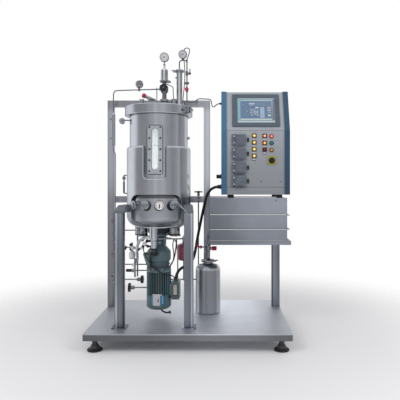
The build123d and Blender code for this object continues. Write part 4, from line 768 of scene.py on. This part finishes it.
# Moulded pieces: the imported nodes, the material's name, colour, roughness and depth of grain.
MOULDED = (
    ("lid_handwheel riser_handle t_handle rear_knob_1 rear_knob_2 rear_knob_3", "black_knob", (36, 38, 42),
     0.4, 0.12),
    ("star_knob", "pale_knob", (150, 148, 165), 0.4, 0.1),
    ("main_switch " + PUMP_SWITCHES, "switch_plastic", (30, 31, 34), 0.36, 0.08),
    ("cable_glands", "gland_plastic", (46, 49, 54), 0.42, 0.18),
    ("cabinet_feet", "foot_rubber", (30, 31, 33), 0.6, 0.18),
    ("lid_gasket", "white_silicone", (206, 204, 198), 0.45, 0.05),
    ("touch_screen", "screen_bezel", (78, 89, 100), 0.36, 0.1),
    ("indicator_lamps", "lens_body", (120, 30, 28), 0.25, 0.05))


class BIOREACTOR_OT_paint(bpy.types.Operator):
    """Paints, enamels, plastics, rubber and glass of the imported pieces"""

    bl_idname = "bioreactor.paint"
    bl_label = "Paint, plastic and glass"

    def execute(self, context):
        look = context.scene.bioreactor_finish
        # The cabinet darker towards the bottom: painted shade.
        finish("cabinet_shell", painted("cabinet_paint", look.cabinet, 0.42, 0.1,
                                        fades=(("Z", 0.82, 1.3, 0.68, 1.03),)))
        # The right cheek darker, and both darker lower down: painted shade.
        finish("cabinet_cheeks", painted("cheek_paint", look.cheek, 0.4, 0.1, 0.05,
                                         fades=(("X", 0.2, 0.5, 1.0, 0.5), ("Z", 0.85, 1.15, 0.8, 1.0))))
        finish("expansion_vessel", painted("tank_enamel", look.red_tank, 0.3, 0.12, 0.4))
        for node, name, factor, rough, coat, fades in ENAMELS:
            finish(node, painted(name, tone(look.enamel, factor), rough, 0.3, coat, 420.0, (0.82, 1.15),
                                 fades))
        for nodes, name, rgb, rough, texture in MOULDED:
            finish(nodes, moulded(name, linear(*rgb), rough, texture))
        finish("red_knob_lid red_knob_riser canister_knob canister_lever",
               moulded("crimson_plastic", look.crimson, 0.3, 0.06))
        finish(BUTTONS, moulded("button_body", look.amber, 0.3, 0.05))
        finish("pump_modules", moulded("pump_case", linear(95, 103, 115), 0.4, 0.14, ("X", PUMP_BANDS)))
        finish("levelling_feet", feet_material())
        finish("panel_bezels", bezel_material(look.switch_plate))
        finish("sight_glass_pane", clear_glass("sight_glass"))
        return {"FINISHED"}


# ------------------------------------------------------------------ vessel
JACKET_R = 0.185
PANE_Y = -0.2222
LID_TOP = 1.3268
COLUMN_XY, RIGHT_BOSS_XY = (-0.168, -0.045), (-0.112, -0.050)
OUTLET_XS = (-0.300, -0.112)
FINE = 300.0


def hex_head(start, way, radius, height):
    """A domed bolt head on a washer."""
    return plug([(radius * 1.45, 0.0), (radius * 1.45, height * 0.25), (radius, height * 0.25),
                 (radius, height * 0.8), (radius * 0.7, height)], start, way, 18)


def seam(half, foot, top, corner, radius, lift=None):
    """A bead round a cut-out: down one side, round the foot's two corners and up the other side in
    equal steps, on the jacket's front at y = axis y - root((R + lift)^2 - x^2), or with no lift on the
    flat frame of the sight glass. The foot may lie above the top."""
    q = np.linspace(0.0, np.pi / 2, 12)
    across, down = corner * (1 - np.cos(q)), math.copysign(corner, top - foot) * (1 - np.sin(q))
    x = np.concatenate(([-half], across - half, half - across[::-1], [half]))
    z = np.concatenate(([top], foot + down, foot + down[::-1], [top]))
    run = np.concatenate(([0.0], np.cumsum(np.hypot(np.diff(x), np.diff(z)))))
    even = np.linspace(0.0, run[-1], 60)
    x, z = np.interp(even, run, x), np.interp(even, run, z)
    y = np.full_like(x, PANE_Y) if lift is None else AXIS_Y - np.sqrt((JACKET_R + lift) ** 2 - x ** 2)
    return tube_along(np.column_stack((AXIS_X + x, y, z)), radius)


class BIOREACTOR_OT_vessel(bpy.types.Operator):
    """Weld beads of the jacket, bolts of the sight glass and the pale light behind its pane"""

    bl_idname = "bioreactor.vessel"
    bl_label = "Vessel details"

    def execute(self, context):
        look, sizes = context.scene.bioreactor_finish, context.scene.bioreactor_sizes
        bead_steel = brushed("bead_steel", tone(look.steel, 1.15), FINE, (0.12, 0.2), 0.1, (0.95, 1.05))
        # The port recess bead's steel is half as light as the vessel's: painted shade in the recess.
        shaded_bead_steel = brushed("recess_bead_steel", tone(look.steel, 0.5), FINE, (0.3, 0.4), 0.1, (0.95, 1.05))
        around = np.linspace(-78.0, 78.0, 90)
        foot = round_axis(around, 0.1655, 0.68 - 0.043 * np.sqrt(1.0 - (around / around[-1]) ** 2))
        shoulder = round_axis(np.linspace(-160.0, 160.0, 120), 0.1698, 1.0925)
        window = seam(0.0655, 0.9045, 1.080, 0.022, 0.0036, -0.0006)
        recess = seam(0.1405, 0.8205, 0.712, 0.042, sizes.bead * 1.3, -0.0008)
        add_piece("jacket_weld_beads", window, bead_steel)
        add_piece("port_recess_bead", recess, shaded_bead_steel)
        add_piece("jacket_shoulder_bead", tube_along(shoulder, sizes.bead), bead_steel)
        add_piece("dish_foot_ring", tube_along(foot, 0.0034), bead_steel)
        bolts = [hex_head((AXIS_X + dx, -0.223, z), FRONT, sizes.bolt, 0.0036)
                 for dx in (-0.0305, 0.0305) for z in (1.192, 1.132, 1.071, 1.010, 0.950)]
        # The sight glass bolt heads are made dark: painted shadow round them.
        darkened_heads = moulded("blackened_bolts", linear(74, 77, 84), 0.34, 0.1)
        add_piece("sight_glass_bolts", joined(bolts), darkened_heads)
        # Thin dark lines under the jacket's edge and round the sight glass frame: painted shadow.
        shade = moulded("seal_shadow", linear(48, 51, 57), 0.5, 0.1)
        add_piece("painted_shadow_lines", joined([seam(0.1395, 0.8185, 0.712, 0.042, 0.0026, -0.0040),
                                          seam(0.0440, 1.2035, 1.0697, 0.014, 0.0013),
                                          seam(0.0440, 0.9325, 1.070, 0.014, 0.0013)]), shade)
        light_behind_pane()
        outlets(look.steel, shade)
        lid_fittings(look.steel)
        return {"FINISHED"}


def light_behind_pane():
    """A slot-shaped plate in the wall behind the pane: rows of points at z, their half width the
    smaller of the slot's half width and the round end's chord; white below, greyer at its top."""
    half, top, foot = 0.0168, 1.1855, 0.9605
    bend = half * (1 - np.cos(np.linspace(0, np.pi / 2, 10)))
    z = np.concatenate((foot + bend, np.linspace(foot + half, top - half, 24)[1:-1], top - bend[::-1]))
    end = np.minimum(np.minimum(z - foot, top - z), half)
    wide = np.sqrt(np.maximum(half ** 2 - (half - end) ** 2, 0.0))
    u = np.linspace(-1.0, 1.0, 9)
    front = np.stack(np.broadcast_arrays(AXIS_X + wide[:, None] * u, -0.2112, z[:, None]), -1)
    ring = np.concatenate((front, front[:, ::-1] + (0.0, 0.0015, 0.0)), 1)
    points = ring.reshape(-1, 3)
    level = np.clip((points[:, 2:] - 1.10) / 0.085, 0.0, 1.0)
    tints = (1 - level) * np.array((0.98, 1.0, 1.0, 1.0)) + level * np.array((0.62, 0.66, 0.69, 1.0))
    add_piece("sight_glass_light", (points, grid_faces(len(z), 18)), tinted("lit_interior", 0.3, 0.5),
              tints=tints)


# Thin pipes under the vessel: radius, and the route in millimetres.
ELBOW = (0.0085, [(-236, -140, 580), (-262, -138, 578), (-288, -134, 568), (-306, -128, 548),
                  (-316, -118, 520), (-320, -100, 488), (-322, -70, 456), (-330, -20, 430),
                  (-344, 50, 412), (-360, 140, 404)])
SAMPLE_LINE = (0.0017, [(-82, -215, 783), (-1, -277.2, 707)])
BRIGHT_LINKS = (
    (0.0042, [(-108, 160, 281), (-108, 160, 540), (-215, 160, 540)]),
    (0.0058, [(-345, -20, 330), (-345, -20, 440)]),
    (0.0058, [(-362, -20, 480), (-362, -20, 534)]),
    (0.0052, [(-366, -26, 509), (-346, -50, 509), (-318, -108, 506)]),
    (0.0046, [(-345, -20, 405), (-360, 160, 405)]))
DARK_LINKS = (
    (0.0038, [(-88, -140, 569), (-91, -132, 520), (-104, -106, 455), (-118, -86, 425), (-136, -66, 399)]),
    (0.0030, [(-104, -140, 569), (-112, -134, 530), (-104, -118, 480), (-112, -92, 432), (-134, -70, 399)]),
    (0.0062, [(-230, -138, 556), (-258, -116, 553), (-270, -116, 541), (-281, -114, 527), (-289, -112, 515),
              (-306, -112, 507), (-320, -100, 492)]),
    (0.0052, [(-230, -135, 524), (-254, -114, 524), (-274, -112, 532)]))


def outlets(steel, shade):
    """Thick sleeves round the two front outlets with a dark ring under each, a painted shadow at their foot;
    the housing round the drive's neck made dark, painted shade under the bowl; the bright elbow from
    the harvest valve; the pale and dark caps of the small valves about it; and dark discs on the wall at
    the three side ports, painted shadows round them."""
    def cap(x, y, z, radius, depth=0.018):
        """A small cap that looks forward, with its edges eased."""
        return plug([(radius * 0.8, 0.0), (radius, 0.002), (radius, depth - 0.004), (radius * 0.7, depth)],
                    (x, y, z))

    sleeves = [collar(0.0245, [(0.0350, 0.0), (0.0362, 0.003), (0.0362, 0.052)], (x, -0.060, 0.590))
               for x in OUTLET_XS]
    flanges = [collar(0.0352, [(outer, 0.0), (outer, high)], (AXIS_X, AXIS_Y, z))
               for outer, high, z in ((0.0520, 0.008, 0.560), (0.0385, 0.005, 0.5385))]
    add_piece("outlet_sleeves", joined(sleeves + flanges + [pipe(*link) for link in BRIGHT_LINKS]),
              brushed("outlet_steel", tone(steel, 0.75), (FINE, FINE, 6.0), (0.2, 0.32), 0.06, (0.86, 1.06),
                      edge=0.5))
    add_piece("harvest_elbow", joined([pipe(*ELBOW), pipe(*SAMPLE_LINE)]),
              brushed("elbow_steel", tone(steel, 1.15), (FINE, FINE, 6.0), (0.3, 0.4), 0.06, (0.9, 1.06)))
    body = plug([(0.013, 0.0), (0.019, 0.006), (0.019, 0.036), (0.012, 0.046)], (-0.362, -0.020, 0.437),
                UP, 28)
    caps = [cap(-0.270, -0.130, 0.541, 0.0115), cap(-0.289, -0.120, 0.515, 0.0080),
            cap(-0.347, -0.060, 0.509, 0.0110, 0.026), cap(-0.350, -0.030, 0.405, 0.0095), body]
    add_piece("valve_pale_caps", joined(caps), moulded("pale_caps", linear(206, 210, 214), 0.35, 0.08))
    dark = [cap(*at, 0.0085, 0.012) for at in (
        (-0.258, -0.112, 0.556), (-0.281, -0.108, 0.526), (-0.254, -0.112, 0.524), (-0.366, -0.035, 0.523),
        (-0.366, -0.035, 0.497))]
    # Dark discs on the wall at the three side ports: painted shadows round them.
    dark += [plug([(radius, 0.0), (radius, 0.004)], round_axis(azimuth, 0.1660, 0.757), outward(azimuth), 32)
             for azimuth, radius in ((-17.0, 0.0270), (7.2, 0.0262), (31.0, 0.0270))]
    add_piece("outlet_dark_caps_and_port_shadows", joined(dark + [pipe(*link) for link in DARK_LINKS]), shade)
    # Dark rings under the outlet sleeves: painted shadow.
    shadow_rings = [collar(0.0262, [(0.0350, 0.0), (0.0372, 0.001), (0.0372, 0.006), (0.0350, 0.007)],
                    (x, -0.060, 0.5835)) for x in OUTLET_XS]
    # The neck housing made dark: painted shade under the bowl.
    neck = collar(0.0530, [(0.0600, 0.0), (0.0640, 0.004), (0.0640, 0.042), (0.0600, 0.046)],
                  (AXIS_X, AXIS_Y, 0.594), 40)
    add_piece("outlet_shadow_rings", joined(shadow_rings + [neck]), shade)


def lid_fittings(steel):
    """What stands on the lid: flange rings at the column's foot, the rings and the blind cap of the
    right boss, a cap on the left boss, and the stem and sleeve of the slanted fitting."""
    ease = 0.002

    def eased(radius, high, side):
        """The outline of a short cylinder that slopes in over the last of its height at each end."""
        return [(radius - ease, 0.0), (radius, side), (radius, high - side), (radius - ease, high)]

    shapes = [collar(inner, eased(outer, high, ease), start, 32) for start, inner, outer, high in (
        ((*COLUMN_XY, LID_TOP), 0.0132, 0.0262, 0.0172),
        ((*COLUMN_XY, 1.3605), 0.0132, 0.0262, 0.0140),
        ((*RIGHT_BOSS_XY, LID_TOP), 0.0092, 0.0145, 0.0212),
        ((*RIGHT_BOSS_XY, 1.3481), 0.0029, 0.0145, 0.0280))]
    shapes += [plug(eased(radius, high, 0.003), start, way, 28) for start, way, radius, high in (
        ((-0.1335, -0.052, LID_TOP), UP, 0.0065, 0.0452),
        ((-0.298, -0.060, 1.3498), UP, 0.0150, 0.0230),
        ((-0.257, -0.056, LID_TOP), UP, 0.0040, 0.0480),
        ((-0.244, -0.060, 1.3743), (-0.908, 0.0, 0.419), 0.0110, 0.0260))]
    steel = brushed("lid_fitting_steel", tone(steel, 0.85), FINE, (0.24, 0.34), 0.06, (0.86, 1.04), edge=0.5)
    add_piece("lid_fittings", joined(shapes), steel)


# ------------------------------------------------------------------ dials
# Each dial: its name, the gauge's middle, how far the face stands out of it, the direction in
# degrees, face radius, needle angle from twelve o'clock, ticks, how bold they are, the face's tone.
DIALS = (
    ("dial_column", (*COLUMN_XY, 1.620), 0.0086, 0.0, 0.0238, -2.1, 19, 0.07, (192, 194, 197)),
    ("dial_inlet", (-0.329, 0.0371, 1.479), 0.0086, 50.0, 0.0198, -1.2, 19, 0.07, (152, 154, 158)),
    ("dial_riser", (-0.060, -0.045, 1.637), 0.0086, 0.0, 0.0218, -2.0, 19, 0.07, (180, 180, 188)),
    ("dial_thermometer", (AXIS_X, AXIS_Y, 0.763), 0.2003, 8.0, 0.0240, math.pi + 0.12, 13, 0.24,
     (226, 226, 222)))


def dial(start, way, radius, needle, ticks, bold, pale):
    """A dial face: a pale disc, ticks as short bars at equal angles over 270 degrees, and a needle
    from the middle; a bar's middle is at the face's middle + reach (sin t side + cos t up)."""
    side, up, along = basis(way)
    face, dark = start + 0.0008 * along, linear(28, 30, 34)

    def bar(turn, reach, width, length, thick):
        """A bar along the spoke at an angle, its place and sizes as shares of the radius."""
        spoke = np.sin(turn) * side + np.cos(turn) * up
        return plate(face + spoke * radius * reach, np.cross(spoke, along), spoke, radius * width,
                     radius * length, thick)

    pairs = [(plug([(radius, 0.0), (radius, 0.0008)], start, way, 40), linear(*pale))]
    tick = (0.84 - bold * 0.2, 0.02 + bold * 0.46, 0.11 + bold * 0.7, 0.0003)
    pairs += [(bar(turn, *tick), linear(58, 60, 64))
              for turn in np.radians(np.linspace(-135.0, 135.0, ticks))]
    hub = plug([(radius * 0.13, 0.0), (radius * 0.13, 0.0012)], face + 0.0002 * along, way, 16)
    return pairs + [(bar(needle, 0.22, bold, 1.0, 0.0006), dark), (hub, dark)]


class BIOREACTOR_OT_dials(bpy.types.Operator):
    """Faces, ticks and needles of the gauges and of the dial thermometer"""

    bl_idname = "bioreactor.dials"
    bl_label = "Dial faces"

    def execute(self, context):
        print_ = tinted("dial_print", 0.42)
        for name, middle, reach, turn, *face in DIALS:
            way = outward(turn)
            add_painted(name, dial(np.array(middle) + reach * way, way, *face), print_)
        return {"FINISHED"}


# ------------------------------------------------------------------ lamps and touch panel
LEAN = math.radians(22.4)
SCREEN_UP = (0.0, math.sin(LEAN), math.cos(LEAN))
SCREEN_MIDDLE = np.array((0.365, -0.094, 1.30125)) + 0.0077 * np.array((0.0, -math.cos(LEAN), math.sin(LEAN)))
SCREEN_W, SCREEN_H, SCREEN_GROUND, FILM = 0.1985, 0.1385, 0.0004, 0.0002

# Lamps: place along the panel, height, and colours of the lens's rim and heart.
LAMPS = (
    (RED_LAMP_X, RED_LAMP_ZS[0], (226, 102, 40), (255, 240, 196)),
    (RED_LAMP_X, RED_LAMP_ZS[1], (232, 122, 24), (255, 240, 150)),
    (RED_LAMP_X, RED_LAMP_ZS[2], (84, 18, 28), (124, 34, 42)),
    (ROUND_LAMP_X, ROUND_LAMP_ZS[0], (246, 52, 44), (255, 190, 170)),
    (ROUND_LAMP_X, ROUND_LAMP_ZS[1], (0, 92, 78), (20, 128, 108)),
    (ROUND_LAMP_X, ROUND_LAMP_ZS[2], (150, 96, 34), (206, 160, 70)))
# Blocks of the panel's picture: left, right, top and bottom as shares of it, colour, and layer.
SCREEN_BLOCKS = (
    (0.00, 0.045, 0.0, 1.0, (142, 186, 198), 1), (0.045, 0.95, 0.0, 0.07, (178, 200, 206), 1),
    (0.02, 0.97, 0.91, 0.98, (196, 212, 216), 1), (0.95, 1.0, 0.0, 1.0, (128, 134, 146), 1),
    (0.30, 0.95, 0.08, 0.30, (112, 134, 162), 1), (0.78, 0.945, 0.3, 0.9, (112, 130, 152), 1),
    (0.29, 0.46, 0.17, 0.235, (188, 198, 208), 2), (0.31, 0.40, 0.26, 0.30, (150, 164, 182), 2),
    (0.48, 0.565, 0.36, 0.42, (222, 228, 232), 2), (0.61, 0.74, 0.36, 0.79, (160, 180, 208), 2),
    (0.625, 0.725, 0.50, 0.63, (146, 190, 230), 3), (0.61, 0.74, 0.80, 0.865, (180, 196, 212), 2),
    (0.825, 0.925, 0.36, 0.40, (190, 198, 208), 2), (0.825, 0.925, 0.44, 0.48, (190, 198, 208), 2),
    (0.825, 0.925, 0.515, 0.555, (190, 198, 208), 2), (0.84, 0.92, 0.61, 0.645, (146, 186, 176), 2),
    (0.835, 0.92, 0.72, 0.80, (184, 214, 204), 2))
SCREEN_DOTS = ((0.21, 0.54), (0.235, 0.56), (0.19, 0.66), (0.20, 0.50), (0.12, 0.25))
SCREEN_RIM = (
    (0.0, 0.0735, 0.2110, 0.0060, (172, 196, 204)), (0.0, -0.0765, 0.2110, 0.0120, (190, 206, 212)),
    (-0.1032, -0.0010, 0.0062, 0.1430, (150, 190, 202)), (0.1032, -0.0010, 0.0062, 0.1430, (118, 134, 148)))


def screen_rows():
    """The picture on the touch panel as rows of plates: a grey-blue ground with pale edge strips, a
    process drawing of small pale blocks in its middle, a light column and a stack of small keys."""
    rng = np.random.default_rng(7)

    def dimmed(rgb, factor=1.0):
        """A display colour times a factor, dimmed to the panel's level."""
        return tone(tone(linear(*rgb), factor), 0.75)

    def block(left, right, top, bottom, rgb, layer, factor=1.0):
        """A plate's row from its edges as shares of the picture."""
        return ((left + right - 1) / 2 * SCREEN_W, (1 - top - bottom) / 2 * SCREEN_H,
                (right - left) * SCREEN_W, (bottom - top) * SCREEN_H, dimmed(rgb, factor), FILM,
                SCREEN_GROUND + FILM * layer)

    def scattered(count, lefts, tops, factors, width, height, rgb):
        """Equal small blocks at random places and levels within the given ranges."""
        places = zip(rng.uniform(*lefts, count), rng.uniform(*tops, count), rng.uniform(*factors, count))
        return [block(x, x + width, y, y + height, rgb, 3, factor) for x, y, factor in places]

    rows = [(0.0, 0.0, SCREEN_W, SCREEN_H, dimmed((104, 128, 158)), SCREEN_GROUND)]
    rows += [block(*row) for row in SCREEN_BLOCKS]
    rows += scattered(14, (0.5, 0.76), (0.17, 0.29), (0.8, 1.1), 0.016, 0.024, (160, 178, 196))
    rows += scattered(46, (0.3, 0.56), (0.44, 0.77), (0.7, 1.2), 0.022, 0.032, (196, 206, 212))
    rows += [block(x, x + 0.016, y, y + 0.026, (196, 208, 214), 3) for x, y in SCREEN_DOTS]
    rows.append(block(0.50, 0.55, 0.56, 0.64, (186, 178, 158), 2))
    return rows + [(*place, dimmed(rgb), FILM, 0.0013) for *place, rgb in SCREEN_RIM]


def lit_lens(radius, height, start, rim, heart):
    """A lens that looks forward: an upright wall for a third of the height, then a quarter ellipse in
    to the axis. Its colour goes from the heart's to the rim's over the distance from the axis."""
    a = np.linspace(0.0, np.pi / 2, 8)
    dome = zip(radius * np.cos(a), height * (1 / 3 + 2 / 3 * np.sin(a)))
    shape = turned([(0.0, 0.0), (radius, 0.0), *dome], start, FRONT, 28)
    away = np.hypot(*(shape[0] - start)[:, (0, 2)].T) / radius
    share = np.clip((away - 0.12) / 0.58, 0.0, 1.0)[:, None]
    return shape, np.asarray(heart) * (1 - share) + np.asarray(rim) * share


class BIOREACTOR_OT_panel_lights(bpy.types.Operator):
    """Lit caps of the push buttons, lenses of the indicator lamps and the touch panel's picture"""

    bl_idname = "bioreactor.panel_lights"
    bl_label = "Lamps, buttons and screen"

    def execute(self, context):
        lit = tinted("lit_lens", 0.16, 0.4)
        amber, white = rgba(context.scene.bioreactor_finish.amber), linear(255, 246, 214)
        for i, z in enumerate(BUTTON_ZS, 1):
            cap = lit_lens(0.0081, 0.0024, (BUTTON_X, PANEL_FRONT - 0.0096, z), amber, white)
            add_painted("button_cap_%d" % i, [cap], lit, "push_button_%d_body" % i)
        lenses = add_painted("indicator_lenses", [
            lit_lens(0.0085, 0.0105, (x, PANEL_FRONT, z), linear(*rim), linear(*heart))
            for x, z, rim, heart in LAMPS], lit)
        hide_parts("indicator_lamps")
        add_painted("touch_panel_picture", patches(SCREEN_MIDDLE, screen_rows(), up=SCREEN_UP),
                    tinted("touch_panel_glow", 0.12, 0.1))
        return {"FINISHED"}


# ------------------------------------------------------------------ cabinet
DARK, MID, PALE, RIM = (76, 80, 88), (112, 117, 124), (186, 184, 188), (52, 54, 60)
SCREWS_AT = ((0.391, PANEL_FRONT, 0.893), (0.501, PANEL_FRONT, 0.893), (0.159, -0.1585, 0.782),
             (0.472, -0.1585, 0.786))


def panel_rows():
    """Seams, label plates under the buttons and lamps, and lines and dots round the pump heads."""
    middle, wide = 0.359, 0.328
    rows = [(middle, 1.1828, wide, 0.0022, MID), (middle, 0.8605, wide, 0.0040, (84, 88, 95)),
            (middle, 0.8580, wide, 0.0016, (180, 184, 188), 0.00025)]
    for x, zs, limit in ((BUTTON_X, BUTTON_ZS, 1.05), (RED_LAMP_X, RED_LAMP_ZS, 1.08)):
        for z in zs:
            drop, *holder = (0.0203, 0.0215, 0.0135, RIM) if z < limit else (0.0193, 0.0200, 0.0108, MID)
            rows += [(x, z - drop, *holder, 0.0004), (x, z - 0.0193, 0.0174, 0.0084, PALE, 0.0003, 0.0004)]
    for z in PUMP_ZS:
        rows += [(0.3320, z - 0.036, 0.050, 0.0012, MID, 0.0002),
                 (0.3190, z + 0.0235, 0.016, 0.0065, (128, 146, 134)), (0.3325, z, 0.0036, 0.0036, DARK),
                 (0.2220, z, 0.0050, 0.0026, DARK), (0.2222, z, 0.0012, 0.070, DARK)]
    return rows + [(0.485, z, 0.0032, 0.0044, rgb) for z, rgb in (
        (1.149, DARK), (1.127, DARK), (1.111, PALE), (1.085, DARK))]


def pump_rows():
    """Light and dark lines on the pump heads' covers."""
    return [row for z in PUMP_ZS for row in (
        (PUMP_X + 0.0115, z + 0.0275, 0.040, 0.0022, (134, 138, 146)),
        # The dark strip along the head's foot: painted shadow.
        (PUMP_X - 0.0010, z - 0.0303, 0.066, 0.0052, (66, 72, 80)),
        (PUMP_X + 0.0040, z + 0.0245, 0.052, 0.0030, (84, 92, 102)),
        (PUMP_X + 0.0310, z, 0.0014, 0.046, (134, 138, 146)))]


class BIOREACTOR_OT_cabinet(bpy.types.Operator):
    """Seams, screws, plain label plates and prints of the cabinet, a painted shadow under each pump head,
    and painted highlights along the lips of the shelf under it
    """

    bl_idname = "bioreactor.cabinet"
    bl_label = "Cabinet details"

    def execute(self, context):
        steel, screw = context.scene.bioreactor_finish.steel, context.scene.bioreactor_sizes.screw
        print_ = tinted("panel_print", 0.4)
        add_painted("cabinet_prints", patches((0.0, PANEL_FRONT, 0.0), panel_rows()), print_)
        add_piece("cabinet_screws", joined([hex_head(at, FRONT, screw, 0.0024) for at in SCREWS_AT]),
                  brushed("screw_steel", tone(steel, 0.5), 500.0, (0.25, 0.35), 0.05))
        heads = [plug([(0.0050, 0.0), (0.0050, 0.0018), (0.0040, 0.0026)],
                      (PUMP_X - 0.0283, PANEL_FRONT - 0.0150, z + dz), steps=20)
                 for z in PUMP_ZS for dz in (-0.0163, 0.0200)]
        add_piece("pump_thumb_screws", joined(heads),
                  brushed("pump_screw_steel", tone(steel, 1.1), 500.0, (0.2, 0.3), 0.05))
        add_painted("pump_cover_lines", patches((0.0, PANEL_FRONT - 0.0170, 0.0), pump_rows()), print_)
        rollers = [plug([(0.0052, 0.0), (0.0052, 0.0022), (0.0044, 0.003)],
                        (PUMP_X + 0.006 + 0.015 * math.cos(t), PANEL_FRONT - 0.021, z + 0.015 * math.sin(t)),
                        steps=18) for z in PUMP_ZS for t in np.radians((30.0, 150.0, 270.0))]
        add_piece("pump_rollers", joined(rollers), moulded("roller_plastic", linear(106, 114, 124), 0.4))
        # Bright strips along the shelf's lips: painted highlights.
        rows = [(0.3155, z, 0.430, 0.0036, (grey,) * 3, 0.0006, lift)
                for z, grey, lift in ((0.7079, 226, 0.0060), (0.6245, 220, 0.0081), (0.5610, 200, 0.0))]
        add_painted("shelf_edge_lights", patches((0.0, -0.1587, 0.0), rows),
                    tinted("bright_edge", 0.25, metallic=0.4))
        return {"FINISHED"}


# ------------------------------------------------------------------ drive
# Plates bent round the motor: azimuths, heights, colour, radius and thickness.
BENT_PLATES = (
    ((-33.0, 33.0), (0.186, 0.2415), (34, 112, 160), 0.0716, 0.0006),
    ((-33.0, -26.0), (0.188, 0.2395), (58, 128, 152), 0.0722, 0.0003),
    ((-22.0, 12.0), (0.1835, 0.2495), (196, 192, 196), 0.0722, 0.0005),
    ((-24.0, 22.0), (0.2405, 0.2475), (176, 176, 178), 0.0723, 0.0003),
    ((1.0, 6.0), (0.203, 0.223), (96, 104, 88), 0.0727, 0.0003),
    ((20.0, 27.0), (0.192, 0.236), (122, 170, 196), 0.0722, 0.0003))
BOX_PLATES = (
    (-0.101, 0.2655, 0.0230, 0.0640, (52, 62, 66), 0.0006),
    (-0.1015, 0.2680, 0.0190, 0.0560, (176, 170, 160), 0.0004, 0.0006),
    (-0.1015, 0.2860, 0.0150, 0.0030, (128, 126, 122), FILM, 0.0010),
    (-0.1015, 0.2700, 0.0150, 0.0020, (136, 134, 130), FILM, 0.0010),
    (-0.1015, 0.2600, 0.0150, 0.0020, (136, 134, 130), FILM, 0.0010))
DRAIN = (0.0048, [(-182, -82, 156), (-172, -92, 146), (-148, -94, 138), (-132, -90, 141)])
VALVE_XY = (-0.217, -0.140)
# Screws of the lantern's and the fan cowl's flanges: distance from the axis, height, radius and depth.
FLANGE_SCREWS = ((0.0699, 0.390, 0.0038, 0.0034), (0.0714, 0.170, 0.0024, 0.0020))


class BIOREACTOR_OT_drive(bpy.types.Operator):
    """Plain colour fields of the motor's plates, and dark caps and screws of the drive"""

    bl_idname = "bioreactor.drive"
    bl_label = "Drive details"

    def execute(self, context):
        bent = [(curved_plate(radius, azimuths, heights, thick), linear(*rgb))
                for azimuths, heights, rgb, radius, thick in BENT_PLATES]
        plates = bent + patches((0.0, -0.0851, 0.0), BOX_PLATES)
        add_painted("motor_plates", plates, tinted("plate_print", 0.34))
        x, y = VALVE_XY
        dark = [
            turned([(0.0252, -0.0125), (0.0262, -0.0115), (0.0262, 0.0115), (0.0252, 0.0125),
                    (0.0240, 0.0125), (0.0240, -0.0125), (0.0252, -0.0125)], (x, y, 0.4885), UP, 36),
            plug([(0.0195, 0.0), (0.0195, 0.0012)], (x, y, 0.4756), DOWN, 36),
            turned([(0.0192, -0.0058), (0.0198, -0.005), (0.0198, 0.005), (0.0192, 0.0058),
                    (0.018, 0.0058), (0.018, -0.0058), (0.0192, -0.0058)], (x, y, 0.510), UP, 36),
            plug([(0.014, 0.0), (0.017, 0.003), (0.017, 0.010), (0.014, 0.013)], (-0.440, 0.130, 0.482),
                 steps=30),
            pipe(*DRAIN),
            turned([(0.0, 0.0), (0.008, 0.0), (0.009, 0.002), (0.009, 0.009), (0.0, 0.011)],
                   (-0.135, -0.091, 0.140), (1.0, 0.1, 0.3), 20)]
        add_piece("drive_dark_caps", joined(dark), moulded("drive_caps", linear(30, 32, 36), 0.36, 0.1))
        screws = [hex_head(round_axis(azimuth, reach, z), outward(azimuth), radius, height)
                  for azimuth in np.arange(22.5, 360.0, 45.0) for reach, z, radius, height in FLANGE_SCREWS]
        screws += [hex_head((x, -0.0850, z), FRONT, 0.0021, 0.0018)
                   for x in (-0.120, -0.082) for z in (0.218, 0.311)]
        steel = tone(context.scene.bioreactor_finish.steel, 0.7)
        steel = brushed("drive_screw_steel", steel, 500.0, (0.22, 0.32), 0.05)
        add_piece("drive_screws", joined(screws), steel)
        return {"FINISHED"}


# ------------------------------------------------------------------ panel and main
STEPS = ("stage", "cords", "steel", "paint", "vessel", "dials", "panel_lights", "cabinet", "drive")


class BIOREACTOR_PT_panel(bpy.types.Panel):
    """Sidebar panel with the looks of the skid"""

    bl_idname = "BIOREACTOR_PT_panel"
    bl_label = "Pilot bioreactor"
    bl_space_type = "VIEW_3D"
    bl_region_type = "UI"
    bl_category = "Bioreactor"

    def draw(self, context):
        for name, group in GROUPS:
            box = self.layout.box()
            for key in group.__annotations__:
                box.prop(getattr(context.scene, name), key)
        for step in STEPS:
            self.layout.operator("bioreactor." + step)


GROUPS = (("bioreactor_finish", BioreactorFinish), ("bioreactor_sizes", BioreactorSizes),
          ("bioreactor_stage", BioreactorStage))
CLASSES = (*(group for _, group in GROUPS), BIOREACTOR_OT_stage, BIOREACTOR_OT_cords, BIOREACTOR_OT_steel,
           BIOREACTOR_OT_paint, BIOREACTOR_OT_vessel, BIOREACTOR_OT_dials, BIOREACTOR_OT_panel_lights,
           BIOREACTOR_OT_cabinet, BIOREACTOR_OT_drive, BIOREACTOR_PT_panel)


def register():
    """Adds the classes and hangs the property groups on the scene."""
    for kind in CLASSES:
        bpy.utils.register_class(kind)
    for name, group in GROUPS:
        setattr(bpy.types.Scene, name, PointerProperty(type=group))


def unregister():
    """Takes the property groups and classes away again."""
    for name, _ in GROUPS:
        delattr(bpy.types.Scene, name)
    for kind in reversed(CLASSES):
        bpy.utils.unregister_class(kind)


def main():
    """Registers the add-on and makes everything in order."""
    register()
    for step in STEPS:
        getattr(bpy.ops.bioreactor, step)()


if __name__ == "__main__":
    main()
